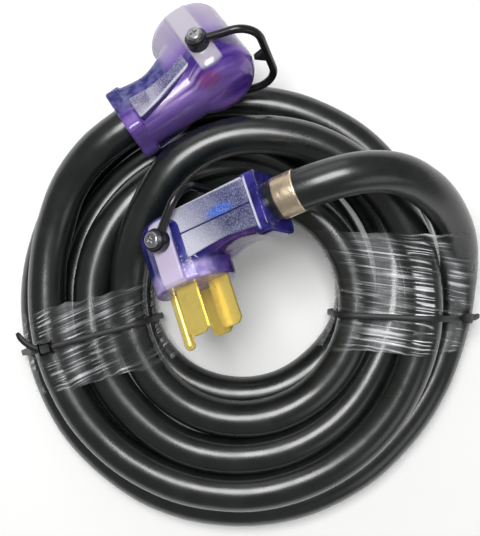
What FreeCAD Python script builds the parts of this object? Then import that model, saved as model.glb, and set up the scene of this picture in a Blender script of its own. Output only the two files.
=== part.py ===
import FreeCAD, Part
import math
import os

from FreeCAD import Placement, Rotation, Vector

# A shore power cord of 50 A size, coiled for storage. A heavy jacketed cord lies in two layers of spiral
# turns. One end rises out of the coil to a right-angled plug, the other runs up to a right-angled connector.
# Each end is a moulded shell with a bail handle on two side screws. Two wraps of stretch film and two cable
# ties hold the turns together. Lengths are in millimetres, and +Z points up, away from the floor.
# Places on the coil are measured from its axis, and the whole set is moved to the frame at the end.

# Cord
CORD_OD = 23.0
TURN_GAP = 0.45
LAYER_GAP = 0.5
CORD_LIFT = 1.8
CROSSING_AZIMUTH = -55.0
CLIMB_RADIUS = 53.0
CLIMB_ROOM = 4.4
LOWER_TURNS = 3
UPPER_TURNS = 3
LOWER_START_SWEEP = 29.0
UPPER_END_SWEEP = 55.0
ARC_SHARE = 0.45
GAP_SPACING = 2.0
GAP_SKIP = 2.5

# Where the coil's axis stands in the frame, so that the origin is in the middle of the base
COIL_AXIS = Vector(-8.63, -19.58, 0)

# Plug and connector: where the cord's axis meets the bail's pivot axis, and how each end lies
PLUG_CENTRE = Vector(-31.9, 33.1, 78.0)
PLUG_HEADING = 24.84
PLUG_RISE = 25.0
PLUG_TILT = 15.0
CONNECTOR_CENTRE = Vector(-16.6, 137.2, 59.0)
CONNECTOR_HEADING = 213.9
CONNECTOR_RISE = 0.0
CONNECTOR_TILT = -30.0

# Moulded shells, in each end's own frame: X towards the cord, Y across, Z out of the face
HEAD_RADIUS = 23.5
PLUG_FACE = 26.0
PLUG_BACK = 17.0
CONNECTOR_FACE = 34.0
CONNECTOR_BACK = 19.0
BACK_ROUND = 12.0
RIM_ROUND = 1.5
NECK_END = 52.0
NECK_HALF_WIDTH_HEAD = 21.0
NECK_HALF_WIDTH_END = 14.5
NECK_BACK = 15.0
NECK_FRONT = 14.0
NECK_BLEND = 1.0
PLUG_WAIST = (29.0, 11.0)
PLUG_SHOULDER = 16.0
CONNECTOR_WAIST = (36.0, 12.5)
CONNECTOR_SHOULDER = 24.0
FLANGE_THICK = 9.0
FLANGE_WIDTH = 33.0
FLANGE_HEIGHT = 36.0
FLANGE_ROUND = 4.0
PANEL_START = 13.0
PANEL_END = 50.0
PANEL_HEIGHT = 13.0
PANEL_SPLIT = 0.6
BACK_PANEL_RISE = 1.2
FACE_PANEL_RISE = 0.5
PANEL_ROOT = 3.0
PAD_HALF_WIDTH = 7.0
PAD_REACH = 24.2
PAD_ROOT = 18.0
JACKET_SEAT = 50.0

# Contacts of the four-wire 50 A pattern
LINE_OFFSET = 13.0
LINE_X = 0.5
NEUTRAL_X = 14.3
GROUND_X = -15.5
BLADE_WIDTH = 12.7
BLADE_THICK = 2.0
BLADE_REACH = 28.0
BLADE_CHAMFER = 2.5
PIN_RADIUS = 3.175
PIN_REACH = 32.0
PIN_SHANK_RADIUS = 2.8
SHANK_WIDTH = 8.0
TAIL_WIDTH = 6.5
TAIL_THICK = 2.0
CORE_RADIUS_PLUG = 20.5
CORE_BACK_PLUG = 8.0
CORE_FRONT_PLUG = 22.0
CORE_RADIUS_CONNECTOR = 21.8
CORE_BACK_CONNECTOR = 5.0
FACE_RECESS = 2.0
CLIP_WIDTH = 13.3
CLIP_THICK = 5.0
CLIP_SLOT = 2.3
CLIP_BACK = 1.5
CLIP_WEB = 1.5
CLIP_SET_BACK = 1.0
SLOT_WIDTH = 13.1
SLOT_THICK = 2.7
SOCKET_BORE = 3.3
SOCKET_WALL = 1.4
SOCKET_BACK = -2.0

# Crimp barrels and wires: a barrel's level is how far it lies from the pivot axis, towards the face
BARREL_RADIUS = 3.4
BARREL_BORE = 2.2
BARREL_LENGTH = 10.0
PLUG_LINE_LEVEL = 1.0
PLUG_NEUTRAL_LEVEL = -2.0
PLUG_GROUND_LEVEL = -10.0
CONNECTOR_LINE_LEVEL = -2.5
CONNECTOR_NEUTRAL_LEVEL = -4.0
CONNECTOR_GROUND_LEVEL = -12.0
WIRE_OD = 6.0
GROUND_WIRE_OD = 5.0
WIRE_SPREAD_Y = 4.2
WIRE_SPREAD_Z = 3.9
WIRE_STRAIGHT = 7.0
GROUND_WIRE_DIP = 30.0
STRAND_RADIUS = 2.1
STRAND_LENGTH = 6.0

# Indicator lamp
LAMP_RADIUS = 2.5
LAMP_LENGTH = 8.0
LAMP_X = 37.0
LAMP_Y = 5.0
LAMP_Z = 10.2
LAMP_LEG_RADIUS = 0.4
LAMP_LEG_LENGTH = 5.0
LAMP_LEG_SPACING = 1.27

# Bail handle, its screws and their inserts
BAIL_REACH = 34.0
BAIL_ROD = 2.4
BAIL_CORNER = 14.0
BAIL_FIT = 0.3
EYELET_RADIUS = 6.5
EYELET_LENGTH = 5.5
TOOTH_TIP = 26.0
TOOTH_HALF_WIDTH = 5.0
TOOTH_HALF_THICK = 2.0
SCREW_RADIUS = 2.5
SCREW_FIT = 0.06
SCREW_HEAD_RADIUS = 4.5
SCREW_HEAD_HEIGHT = 2.8
SCREW_HEAD_ROUND = 1.3
SCREW_DEPTH = 17.0
RECESS_LENGTH = 4.6
RECESS_WIDTH = 1.2
RECESS_DEPTH = 1.5
WASHER_RADIUS = 5.7
WASHER_THICK = 1.0
INSERT_RADIUS = 4.2
INSERT_START = 16.4
PLUG_BAIL_ANGLE = 45.0
CONNECTOR_BAIL_ANGLE = 157.0

# Foil band on the cord, measured from the plug's centre
BAND_START = 62.5
BAND_LENGTH = 9.8
BAND_WALL = 0.3
BAND_FIT = 0.1

# Film wraps and cable ties
FILM_WALL = 1.6
FILM_FIT = 0.2
FILM_ROUND = 8.0
FILM_LEAD_ROOM = 0.84
SPIRAL_DRAW = 3.05
LEFT_FILM = {"azimuth": 195.0, "width": 50.0, "inner": 30.5}
RIGHT_FILM = {"azimuth": -2.0, "width": 56.0, "inner": 28.8}
TIE_WIDTH = 3.6
TIE_THICK = 1.3
TIE_FILM_LEFT = 0.25
TIE_FIT = 0.1
TIE_GROOVE_OVER = 1.0
TIE_NECK_ROOT = 1.0
TIE_HEAD = (7.5, 6.2, 4.6)
LEFT_TIE = {"offset": -3.0, "head_at": 122.0, "tail": 12.5}
RIGHT_TIE = {"offset": -6.0, "head_at": 139.0, "tail": 14.5}
TIE_TAIL_WIDTH = 3.4
TIE_TAIL_THICK = 1.1

# The free stretches, as chosen by hand from the coil's axis. The first two points of the plug's stretch and
# the last two of the connector's lie on that end's own axis.
PLUG_AXIS_RUN = 91.0
PLUG_ROUTE = [
    (83.0, 73.5, 108.5),
    (111.0, 62.0, 83.0),
    (128.0, 45.0, 55.0),
    (136.0, 25.0, 33.0),
    (137.3, 4.0, 19.0),
]
PLUG_LAST_RUN = 18.0
CONNECTOR_FIRST_RUN = 19.0
CONNECTOR_ROUTE = [
    (-116.5, 65.0, 44.0),
    (-100.0, 83.5, 53.0),
]
CONNECTOR_AXIS_RUN = 70.0

# Worked out from the sizes above
CORD_RADIUS = CORD_OD / 2
PITCH = CORD_OD + TURN_GAP
LOWER_HEIGHT = CORD_LIFT + CORD_RADIUS
UPPER_HEIGHT = LOWER_HEIGHT + CORD_OD + LAYER_GAP
COLLAR_END = NECK_END + FLANGE_THICK
UP = Vector(0, 0, 1)

# The right wrap goes round the plug's lead where it joins the coil
LEAD_REACH = math.hypot(*PLUG_ROUTE[-1][:2]) + CORD_RADIUS
RIGHT_FILM["outer"] = LEAD_REACH + FILM_FIT + FILM_WALL + FILM_LEAD_ROOM


def box(low, high):
    """A box between two corners."""
    size = high - low
    return Part.makeBox(size.x, size.y, size.z, low)


def rod(start, end, radius):
    """A round bar between two points."""
    along = end - start
    return Part.makeCylinder(radius, along.Length, start, along)


def fuse(shapes):
    """Join overlapping shapes into one solid."""
    joined = shapes[0]
    if len(shapes) > 1:
        joined = shapes[0].multiFuse(shapes[1:])
    return joined.removeSplitter()


def prism(points, direction):
    """A flat outline pushed along a direction."""
    return Part.Face(Part.makePolygon(points + points[:1])).extrude(direction)


def mirrored(shape):
    """The same shape on the other side of an end's middle plane."""
    return shape.mirror(Vector(0, 0, 0), Vector(0, 1, 0))


def sweep(edges, radius):
    """A round tube along joined edges."""
    path = Part.Wire(edges)
    first = edges[0]
    start = first.valueAt(first.FirstParameter)
    tangent = first.tangentAt(first.FirstParameter)
    ring = Part.Wire(Part.makeCircle(radius, start, tangent))
    return path.makePipeShell([ring], True, False)


def rounded_route(points):
    """Straight runs joined by tangent arcs, and the arcs' radii."""
    edges = []
    radii = []
    at = points[0]
    for before, corner, after in zip(points, points[1:], points[2:]):
        towards = (corner - before).normalize()
        away = (after - corner).normalize()
        shorter = min((corner - before).Length, (after - corner).Length)
        setback = ARC_SHARE * shorter
        half_turn = towards.getAngle(away) / 2
        radius = setback / math.tan(half_turn)
        arc_start = corner - towards * setback
        arc_end = corner + away * setback
        inwards = (away - towards).normalize()
        middle = corner + inwards * radius * (1 / math.cos(half_turn) - 1)
        edges.append(Part.LineSegment(at, arc_start).toShape())
        edges.append(Part.Arc(arc_start, middle, arc_end).toShape())
        radii.append(radius)
        at = arc_end
    edges.append(Part.LineSegment(at, points[-1]).toShape())
    return edges, radii


def end_placement(centre, heading, rise, tilt):
    """Where an end's own frame stands on the coil."""
    return Placement(centre, Rotation(heading, -rise, 90 - tilt))


def turned(azimuth):
    """The level direction at an azimuth."""
    angle = math.radians(azimuth)
    return Vector(math.cos(angle), math.sin(angle), 0)


def flat_arc(centre, radius, start_azimuth, sweep_angle):
    """A clockwise arc in one level plane, split so that no piece passes a quarter turn."""
    pieces = math.ceil(sweep_angle / 90.0)
    step = sweep_angle / pieces
    edges = []
    for index in range(pieces):
        azimuths = [start_azimuth - step * (index + share) for share in (0, 0.5, 1)]
        edges.append(Part.Arc(*[centre + turned(azimuth) * radius for azimuth in azimuths]).toShape())
    return edges


def half_turn(start, end, clockwise_side):
    """Two quarter arcs of one circle, which climb if the ends' heights differ."""
    centre = (start + end) * 0.5
    radius = (end - start).Length / 2
    top = centre + clockwise_side * radius
    to_start = (start - centre).normalize()
    to_end = (end - centre).normalize()
    first_middle = centre + (to_start + clockwise_side).normalize() * radius
    second_middle = centre + (clockwise_side + to_end).normalize() * radius
    return [Part.Arc(start, first_middle, top).toShape(), Part.Arc(top, second_middle, end).toShape()]


def crossing(half_turns):
    """How far the cord lies from the axis where it crosses the common line, counted from the climb."""
    if half_turns == 0:
        return CLIMB_RADIUS
    return CLIMB_RADIUS + CLIMB_ROOM + half_turns * PITCH / 2


def coil_path():
    """The coil's centre line, clockwise: in along the lower layer, up half a turn, out along the upper."""
    axis = turned(CROSSING_AZIMUTH)
    quarter_on = turned(CROSSING_AZIMUTH - 90)
    low = UP * LOWER_HEIGHT
    high = UP * UPPER_HEIGHT
    opening_radius = crossing(2 * LOWER_TURNS) + PITCH / 4
    opening_azimuth = CROSSING_AZIMUTH + LOWER_START_SWEEP
    edges = flat_arc(low - axis * (PITCH / 4), opening_radius, opening_azimuth, LOWER_START_SWEEP)
    reaches = [crossing(count) for count in range(2 * LOWER_TURNS, -1, -1)]
    reaches += [crossing(count) for count in range(2 * UPPER_TURNS)]
    side = 1
    for index, (near, far) in enumerate(zip(reaches, reaches[1:])):
        start = axis * (side * near) + (low if index <= 2 * LOWER_TURNS else high)
        end = axis * (-side * far) + (low if index < 2 * LOWER_TURNS else high)
        edges += half_turn(start, end, quarter_on * side)
        side = -side
    closing_radius = reaches[-1] + PITCH / 4
    closing_azimuth = CROSSING_AZIMUTH + (0 if side > 0 else 180)
    closing_centre = high - axis * (side * PITCH / 4)
    edges += flat_arc(closing_centre, closing_radius, closing_azimuth, 180 - UPPER_END_SWEEP)
    first = edges[0]
    entry = first.valueAt(first.FirstParameter)
    entry_tangent = first.tangentAt(first.FirstParameter)
    lead_in = entry - entry_tangent * CORD_OD
    last = edges[-1]
    leave = last.valueAt(last.LastParameter)
    leave_tangent = last.tangentAt(last.LastParameter)
    lead_out = leave + leave_tangent * CORD_OD
    edges.insert(0, Part.LineSegment(lead_in, entry).toShape())
    edges.append(Part.LineSegment(leave, lead_out).toShape())
    return edges, (lead_in, entry_tangent), (lead_out, leave_tangent)


def least_gap(edges):
    """The least gap between stretches of the cord, measured on points of its centre line."""
    points = []
    for edge in edges:
        count = max(2, round(edge.Length / GAP_SPACING))
        points += [(p.x, p.y, p.z) for p in edge.discretize(count)[:-1]]
    skip = math.ceil(GAP_SKIP * CORD_OD / GAP_SPACING)
    least = math.inf
    for index, (x, y, z) in enumerate(points):
        for other in points[index + skip:]:
            distance = (x - other[0]) ** 2 + (y - other[1]) ** 2 + (z - other[2]) ** 2
            least = min(least, distance)
    return math.sqrt(least) - CORD_OD


def shell_outside(face, back, waist, shoulder):
    """The outer form of one moulded end, with nothing inside it taken away."""
    head = Part.makeCylinder(HEAD_RADIUS, face + back, Vector(0, 0, -back))
    back_edge = [edge for edge in head.Edges if abs(edge.CenterOfMass.z + back) < 0.01 and edge.Closed]
    head = head.makeFillet(BACK_ROUND, back_edge)
    rim_edge = [edge for edge in head.Edges if abs(edge.CenterOfMass.z - face) < 0.01 and edge.Closed]
    head = head.makeFillet(RIM_ROUND, rim_edge)
    waist_x, waist_z = waist
    reach = UP.cross(Vector(1, 0, 0)) * (2 * NECK_HALF_WIDTH_HEAD)
    outline = [
        Vector(0, 0, -back),
        Vector(NECK_END, 0, -NECK_BACK),
        Vector(NECK_END, 0, NECK_FRONT),
        Vector(waist_x, 0, waist_z),
        Vector((HEAD_RADIUS + waist_x) / 2, 0, (waist_z + shoulder) / 2 - NECK_BLEND),
        Vector(HEAD_RADIUS - NECK_BLEND, 0, shoulder),
        Vector(0, 0, shoulder),
    ]
    outline = [point - reach / 2 for point in outline]
    side_form = prism(outline, reach)
    plan = [
        Vector(0, -NECK_HALF_WIDTH_HEAD, 0),
        Vector(NECK_END, -NECK_HALF_WIDTH_END, 0),
        Vector(NECK_END, NECK_HALF_WIDTH_END, 0),
        Vector(0, NECK_HALF_WIDTH_HEAD, 0),
    ]
    plan = [point - UP * back for point in plan]
    neck = side_form.common(prism(plan, UP * (face + back)))
    flange = box(
        Vector(NECK_END, -FLANGE_WIDTH / 2, -FLANGE_HEIGHT / 2),
        Vector(COLLAR_END, FLANGE_WIDTH / 2, FLANGE_HEIGHT / 2),
    )
    long_edges = [edge for edge in flange.Edges if abs(edge.tangentAt(edge.FirstParameter).x) > 0.99]
    flange = flange.makeFillet(FLANGE_ROUND, long_edges)
    slope = (NECK_HALF_WIDTH_HEAD - NECK_HALF_WIDTH_END) / NECK_END
    sides = []
    for low, high, rise in (
        (-PANEL_HEIGHT, -PANEL_SPLIT / 2, BACK_PANEL_RISE),
        (PANEL_SPLIT / 2, PANEL_HEIGHT, FACE_PANEL_RISE),
    ):
        starts = NECK_HALF_WIDTH_HEAD - slope * PANEL_START
        stops = NECK_HALF_WIDTH_HEAD - slope * PANEL_END
        panel = prism(
            [
                Vector(PANEL_START, starts - PANEL_ROOT, low),
                Vector(PANEL_END, stops - PANEL_ROOT, low),
                Vector(PANEL_END, stops + rise, low),
                Vector(PANEL_START, starts + rise, low),
            ],
            UP * (high - low),
        )
        sides.append(panel)
    pad = box(Vector(-PAD_HALF_WIDTH, PAD_ROOT, 0), Vector(PAD_HALF_WIDTH, PAD_REACH, face - RIM_ROUND))
    pad_end = rod(Vector(0, PAD_ROOT, 0), Vector(0, PAD_REACH, 0), PAD_HALF_WIDTH)
    sides += [pad, pad_end]
    return fuse([head, neck, flange] + sides + [mirrored(side) for side in sides])


def tail_tab(x, y, low, high):
    """The flat tab that joins a contact to its crimp barrel."""
    return box(
        Vector(x - TAIL_WIDTH / 2, y - TAIL_THICK / 2, low),
        Vector(x + TAIL_WIDTH / 2, y + TAIL_THICK / 2, high),
    )


def blade(x, y, level):
    """A flat contact: the part that shows, a narrower shank in the carrier and the tab behind it."""
    tip = PLUG_FACE + BLADE_REACH
    half = BLADE_WIDTH / 2
    outline = [
        Vector(x - half, y - BLADE_THICK / 2, PLUG_FACE),
        Vector(x + half, y - BLADE_THICK / 2, PLUG_FACE),
        Vector(x + half, y - BLADE_THICK / 2, tip - BLADE_CHAMFER),
        Vector(x + half - BLADE_CHAMFER, y - BLADE_THICK / 2, tip),
        Vector(x - half + BLADE_CHAMFER, y - BLADE_THICK / 2, tip),
        Vector(x - half, y - BLADE_THICK / 2, tip - BLADE_CHAMFER),
    ]
    shown = prism(outline, Vector(0, BLADE_THICK, 0))
    shank = box(
        Vector(x - SHANK_WIDTH / 2, y - BLADE_THICK / 2, CORE_BACK_PLUG),
        Vector(x + SHANK_WIDTH / 2, y + BLADE_THICK / 2, PLUG_FACE),
    )
    return fuse([shown, shank, tail_tab(x, y, level - BARREL_RADIUS, CORE_BACK_PLUG)])


def ground_pin():
    """The round contact with a domed tip, on a narrower shank in the carrier."""
    shoulder = Vector(GROUND_X, 0, PLUG_FACE)
    dome_centre = Vector(GROUND_X, 0, PLUG_FACE + PIN_REACH - PIN_RADIUS)
    shank = rod(Vector(GROUND_X, 0, CORE_BACK_PLUG), shoulder, PIN_SHANK_RADIUS)
    shaft = rod(shoulder, dome_centre, PIN_RADIUS)
    dome = Part.makeSphere(PIN_RADIUS, dome_centre)
    tab = tail_tab(GROUND_X, 0, PLUG_GROUND_LEVEL - BARREL_RADIUS, CORE_BACK_PLUG)
    return fuse([shank, shaft, dome, tab])


def clip(x, y, level):
    """A contact that a blade slides into: two leaves on a web, and the tab behind it."""
    front = CONNECTOR_FACE - FACE_RECESS - CLIP_SET_BACK
    body = box(
        Vector(x - CLIP_WIDTH / 2, y - CLIP_THICK / 2, CLIP_BACK),
        Vector(x + CLIP_WIDTH / 2, y + CLIP_THICK / 2, front),
    )
    slot = box(
        Vector(x - CLIP_WIDTH / 2, y - CLIP_SLOT / 2, CLIP_BACK + CLIP_WEB),
        Vector(x + CLIP_WIDTH / 2, y + CLIP_SLOT / 2, front),
    )
    tab = tail_tab(x, y, level - BARREL_RADIUS, CLIP_BACK)
    return fuse([body.cut(slot), tab])


def ground_socket():
    """A round socket for the ground pin, and the tab behind it."""
    front = Vector(GROUND_X, 0, CONNECTOR_FACE - FACE_RECESS - CLIP_SET_BACK)
    back = Vector(GROUND_X, 0, SOCKET_BACK)
    floor = back + UP * CLIP_WEB
    tube = rod(back, front, SOCKET_BORE + SOCKET_WALL).cut(rod(floor, front, SOCKET_BORE))
    tab = tail_tab(GROUND_X, 0, CONNECTOR_GROUND_LEVEL - BARREL_RADIUS, SOCKET_BACK)
    return fuse([tube, tab])


def barrel_places(line_level, neutral_level, ground_level):
    """Where each crimp barrel starts: at the cord side of its contact's tab."""
    half = TAIL_WIDTH / 2
    return {
        "red": Vector(LINE_X + half, LINE_OFFSET, line_level),
        "black": Vector(LINE_X + half, -LINE_OFFSET, line_level),
        "white": Vector(NEUTRAL_X + half, 0, neutral_level),
        "green": Vector(GROUND_X + half, 0, ground_level),
    }


def crimp_barrels(places):
    """The four short tubes that grip the wires."""
    barrels = []
    for start in places.values():
        end = start + Vector(BARREL_LENGTH, 0, 0)
        barrels.append(rod(start, end, BARREL_RADIUS).cut(rod(start, end, BARREL_BORE)))
    return barrels


def wires(places):
    """The four wires, from the end of the cord's jacket to the crimp barrels."""
    made = {}
    corners = {"red": (1, 1), "black": (-1, 1), "white": (1, -1), "green": (-1, -1)}
    for colour, (across, up) in corners.items():
        diameter = GROUND_WIRE_OD if colour == "green" else WIRE_OD
        start = Vector(JACKET_SEAT, across * WIRE_SPREAD_Y, up * WIRE_SPREAD_Z)
        mouth = places[colour] + Vector(BARREL_LENGTH, 0, 0)
        run = Vector(WIRE_STRAIGHT, 0, 0)
        route = [start, start - run, mouth + run, mouth]
        if colour == "green":
            route.insert(2, Vector(GROUND_WIRE_DIP, start.y, mouth.z))
        edges, _ = rounded_route(route)
        strand = rod(mouth - Vector(STRAND_LENGTH, 0, 0), mouth, STRAND_RADIUS)
        made[colour] = fuse([sweep(edges, diameter / 2), strand])
    return made


def lamp():
    """A small round lamp with its two legs."""
    base = Vector(LAMP_X, LAMP_Y, LAMP_Z)
    dome_at = base + Vector(LAMP_LENGTH - LAMP_RADIUS, 0, 0)
    pieces = [rod(base, dome_at, LAMP_RADIUS), Part.makeSphere(LAMP_RADIUS, dome_at)]
    for side in (-1, 1):
        foot = base + Vector(0, side * LAMP_LEG_SPACING, 0)
        pieces.append(rod(foot - Vector(LAMP_LEG_LENGTH, 0, 0), foot, LAMP_LEG_RADIUS))
    return fuse(pieces)


def bail(angle):
    """The bail handle: two eyelets, a round bar bent in a U, and a tooth at its crown."""
    eye_start = PAD_REACH + BAIL_FIT
    arm = eye_start + EYELET_LENGTH / 2
    points = [
        Vector(SCREW_RADIUS, arm, 0),
        Vector(BAIL_REACH - BAIL_CORNER, arm, 0),
        Vector(BAIL_REACH, arm - BAIL_CORNER, 0),
        Vector(BAIL_REACH, BAIL_CORNER - arm, 0),
        Vector(BAIL_REACH - BAIL_CORNER, -arm, 0),
        Vector(SCREW_RADIUS, -arm, 0),
    ]
    bend = BAIL_CORNER * (1 - math.sqrt(0.5))
    corner = Vector(BAIL_REACH - bend, arm - bend, 0)
    far_corner = Vector(corner.x, -corner.y, 0)
    edges = [
        Part.LineSegment(points[0], points[1]).toShape(),
        Part.Arc(points[1], corner, points[2]).toShape(),
        Part.LineSegment(points[2], points[3]).toShape(),
        Part.Arc(points[3], far_corner, points[4]).toShape(),
        Part.LineSegment(points[4], points[5]).toShape(),
    ]
    bar = sweep(edges, BAIL_ROD)
    tooth = prism(
        [
            Vector(BAIL_REACH, -TOOTH_HALF_WIDTH, -TOOTH_HALF_THICK),
            Vector(BAIL_REACH, TOOTH_HALF_WIDTH, -TOOTH_HALF_THICK),
            Vector(TOOTH_TIP, 0, -TOOTH_HALF_THICK),
        ],
        UP * (2 * TOOTH_HALF_THICK),
    )
    eyes = []
    for side in (-1, 1):
        near = Vector(0, side * eye_start, 0)
        far = Vector(0, side * (eye_start + EYELET_LENGTH), 0)
        eyes.append(rod(near, far, EYELET_RADIUS))
    hole_reach = Vector(0, eye_start + EYELET_LENGTH, 0)
    hole = rod(hole_reach * -1, hole_reach, SCREW_RADIUS + SCREW_FIT)
    made = fuse([bar, tooth] + eyes).cut(hole)
    made.rotate(Vector(0, 0, 0), Vector(0, 1, 0), angle)
    return made


def bail_fasteners():
    """Screws, washers and threaded inserts of both sides."""
    washer_start = PAD_REACH + 2 * BAIL_FIT + EYELET_LENGTH
    head_start = washer_start + WASHER_THICK
    shank = rod(Vector(0, SCREW_DEPTH, 0), Vector(0, head_start, 0), SCREW_RADIUS)
    head_top = head_start + SCREW_HEAD_HEIGHT
    head = rod(Vector(0, head_start, 0), Vector(0, head_top, 0), SCREW_HEAD_RADIUS)
    top_edge = [edge for edge in head.Edges if edge.Closed and abs(edge.CenterOfMass.y - head_top) < 0.01]
    head = head.makeFillet(SCREW_HEAD_ROUND, top_edge)
    for length, width in ((RECESS_LENGTH, RECESS_WIDTH), (RECESS_WIDTH, RECESS_LENGTH)):
        low = Vector(-length / 2, head_top - RECESS_DEPTH, -width / 2)
        head = head.cut(box(low, Vector(length / 2, head_top, width / 2)))
    screw = fuse([head, shank])
    washer = rod(Vector(0, washer_start, 0), Vector(0, head_start, 0), WASHER_RADIUS)
    washer = washer.cut(rod(Vector(0, washer_start, 0), Vector(0, head_start, 0), SCREW_RADIUS))
    insert = rod(Vector(0, INSERT_START, 0), Vector(0, PAD_REACH, 0), INSERT_RADIUS)
    insert = insert.cut(rod(Vector(0, SCREW_DEPTH, 0), Vector(0, PAD_REACH, 0), SCREW_RADIUS))
    return [[piece, mirrored(piece)] for piece in (screw, washer, insert)]


def plug_end():
    """Every piece of the plug, in the plug's own frame."""
    places = barrel_places(PLUG_LINE_LEVEL, PLUG_NEUTRAL_LEVEL, PLUG_GROUND_LEVEL)
    contacts = {
        "plug_line_blade_a": blade(LINE_X, LINE_OFFSET, PLUG_LINE_LEVEL),
        "plug_line_blade_b": blade(LINE_X, -LINE_OFFSET, PLUG_LINE_LEVEL),
        "plug_neutral_blade": blade(NEUTRAL_X, 0, PLUG_NEUTRAL_LEVEL),
        "plug_ground_pin": ground_pin(),
    }
    core = rod(Vector(0, 0, CORE_BACK_PLUG), Vector(0, 0, CORE_FRONT_PLUG), CORE_RADIUS_PLUG)
    core = core.cut(list(contacts.values()))
    outside = shell_outside(PLUG_FACE, PLUG_BACK, PLUG_WAIST, PLUG_SHOULDER)
    return finish_end("plug", outside, core, contacts, places, PLUG_BAIL_ANGLE)


def connector_end():
    """Every piece of the connector, in the connector's own frame."""
    places = barrel_places(CONNECTOR_LINE_LEVEL, CONNECTOR_NEUTRAL_LEVEL, CONNECTOR_GROUND_LEVEL)
    contacts = {
        "connector_line_contact_a": clip(LINE_X, LINE_OFFSET, CONNECTOR_LINE_LEVEL),
        "connector_line_contact_b": clip(LINE_X, -LINE_OFFSET, CONNECTOR_LINE_LEVEL),
        "connector_neutral_contact": clip(NEUTRAL_X, 0, CONNECTOR_NEUTRAL_LEVEL),
        "connector_ground_socket": ground_socket(),
    }
    front = CONNECTOR_FACE - FACE_RECESS
    face = Vector(0, 0, front)
    core = rod(Vector(0, 0, CORE_BACK_CONNECTOR), face, CORE_RADIUS_CONNECTOR)
    pockets = []
    for x, y in ((LINE_X, LINE_OFFSET), (LINE_X, -LINE_OFFSET), (NEUTRAL_X, 0)):
        low = Vector(x - CLIP_WIDTH / 2, y - CLIP_THICK / 2, CLIP_BACK)
        high = Vector(x + CLIP_WIDTH / 2, y + CLIP_THICK / 2, front - CLIP_SET_BACK)
        pockets.append(box(low, high))
        low = Vector(x - SLOT_WIDTH / 2, y - SLOT_THICK / 2, front - CLIP_SET_BACK)
        pockets.append(box(low, Vector(x + SLOT_WIDTH / 2, y + SLOT_THICK / 2, front)))
    bore_floor = Vector(GROUND_X, 0, SOCKET_BACK)
    bore_front = Vector(GROUND_X, 0, front)
    pockets.append(rod(bore_floor, bore_front - UP * CLIP_SET_BACK, SOCKET_BORE + SOCKET_WALL))
    pockets.append(rod(bore_floor, bore_front, SOCKET_BORE))
    core = core.cut(pockets)
    outside = shell_outside(CONNECTOR_FACE, CONNECTOR_BACK, CONNECTOR_WAIST, CONNECTOR_SHOULDER)
    mouth = rod(Vector(0, 0, CORE_BACK_CONNECTOR), Vector(0, 0, CONNECTOR_FACE), CORE_RADIUS_CONNECTOR)
    for pocket in pockets:
        mouth = mouth.fuse(pocket)
    return finish_end("connector", outside.cut(mouth), core, contacts, places, CONNECTOR_BAIL_ANGLE)


def finish_end(name, outside, core, contacts, places, bail_angle):
    """Add what both ends share, and take the inner pieces out of the shell."""
    nodes = {f"{name}_core": core}
    nodes.update(contacts)
    barrels = crimp_barrels(places)
    nodes[f"{name}_crimp_barrels"] = Part.makeCompound(barrels)
    made_wires = wires(places)
    for colour, wire in made_wires.items():
        nodes[f"{name}_wire_{colour}"] = wire
    nodes[f"{name}_indicator_lamp"] = lamp()
    screws, washers, inserts = bail_fasteners()
    nodes[f"{name}_bail_screws"] = Part.makeCompound(screws)
    nodes[f"{name}_bail_washers"] = Part.makeCompound(washers)
    nodes[f"{name}_screw_inserts"] = Part.makeCompound(inserts)
    jacket = rod(Vector(JACKET_SEAT, 0, 0), Vector(COLLAR_END, 0, 0), CORD_RADIUS)
    filled_barrels = []
    for at in places.values():
        filled_barrels.append(rod(at, at + Vector(BARREL_LENGTH, 0, 0), BARREL_RADIUS))
    filled_inserts = []
    for side in (-1, 1):
        insert_end = Vector(0, side * PAD_REACH, 0)
        filled_inserts.append(rod(Vector(0, side * INSERT_START, 0), insert_end, INSERT_RADIUS))
    inside = [core, jacket, nodes[f"{name}_indicator_lamp"]]
    inside += list(contacts.values()) + list(made_wires.values()) + filled_barrels + filled_inserts
    nodes[f"{name}_shell"] = outside.cut(inside)
    nodes[f"{name}_bail"] = bail(bail_angle)
    return nodes


def wrap_placement(azimuth):
    """A wrap's own frame: X outwards from the coil's axis, Y along the cord, Z up."""
    return Placement(Vector(0, 0, 0), Rotation(azimuth, 0, 0))


def rounded_bar(inner, outer, low, high, corner, start, end):
    """A bar along Y whose section is a rectangle with round corners."""
    bar = box(Vector(inner, start, low), Vector(outer, end, high))
    long_edges = [edge for edge in bar.Edges if abs(edge.tangentAt(edge.FirstParameter).y) > 0.99]
    return bar.makeFillet(corner, long_edges)


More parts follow.
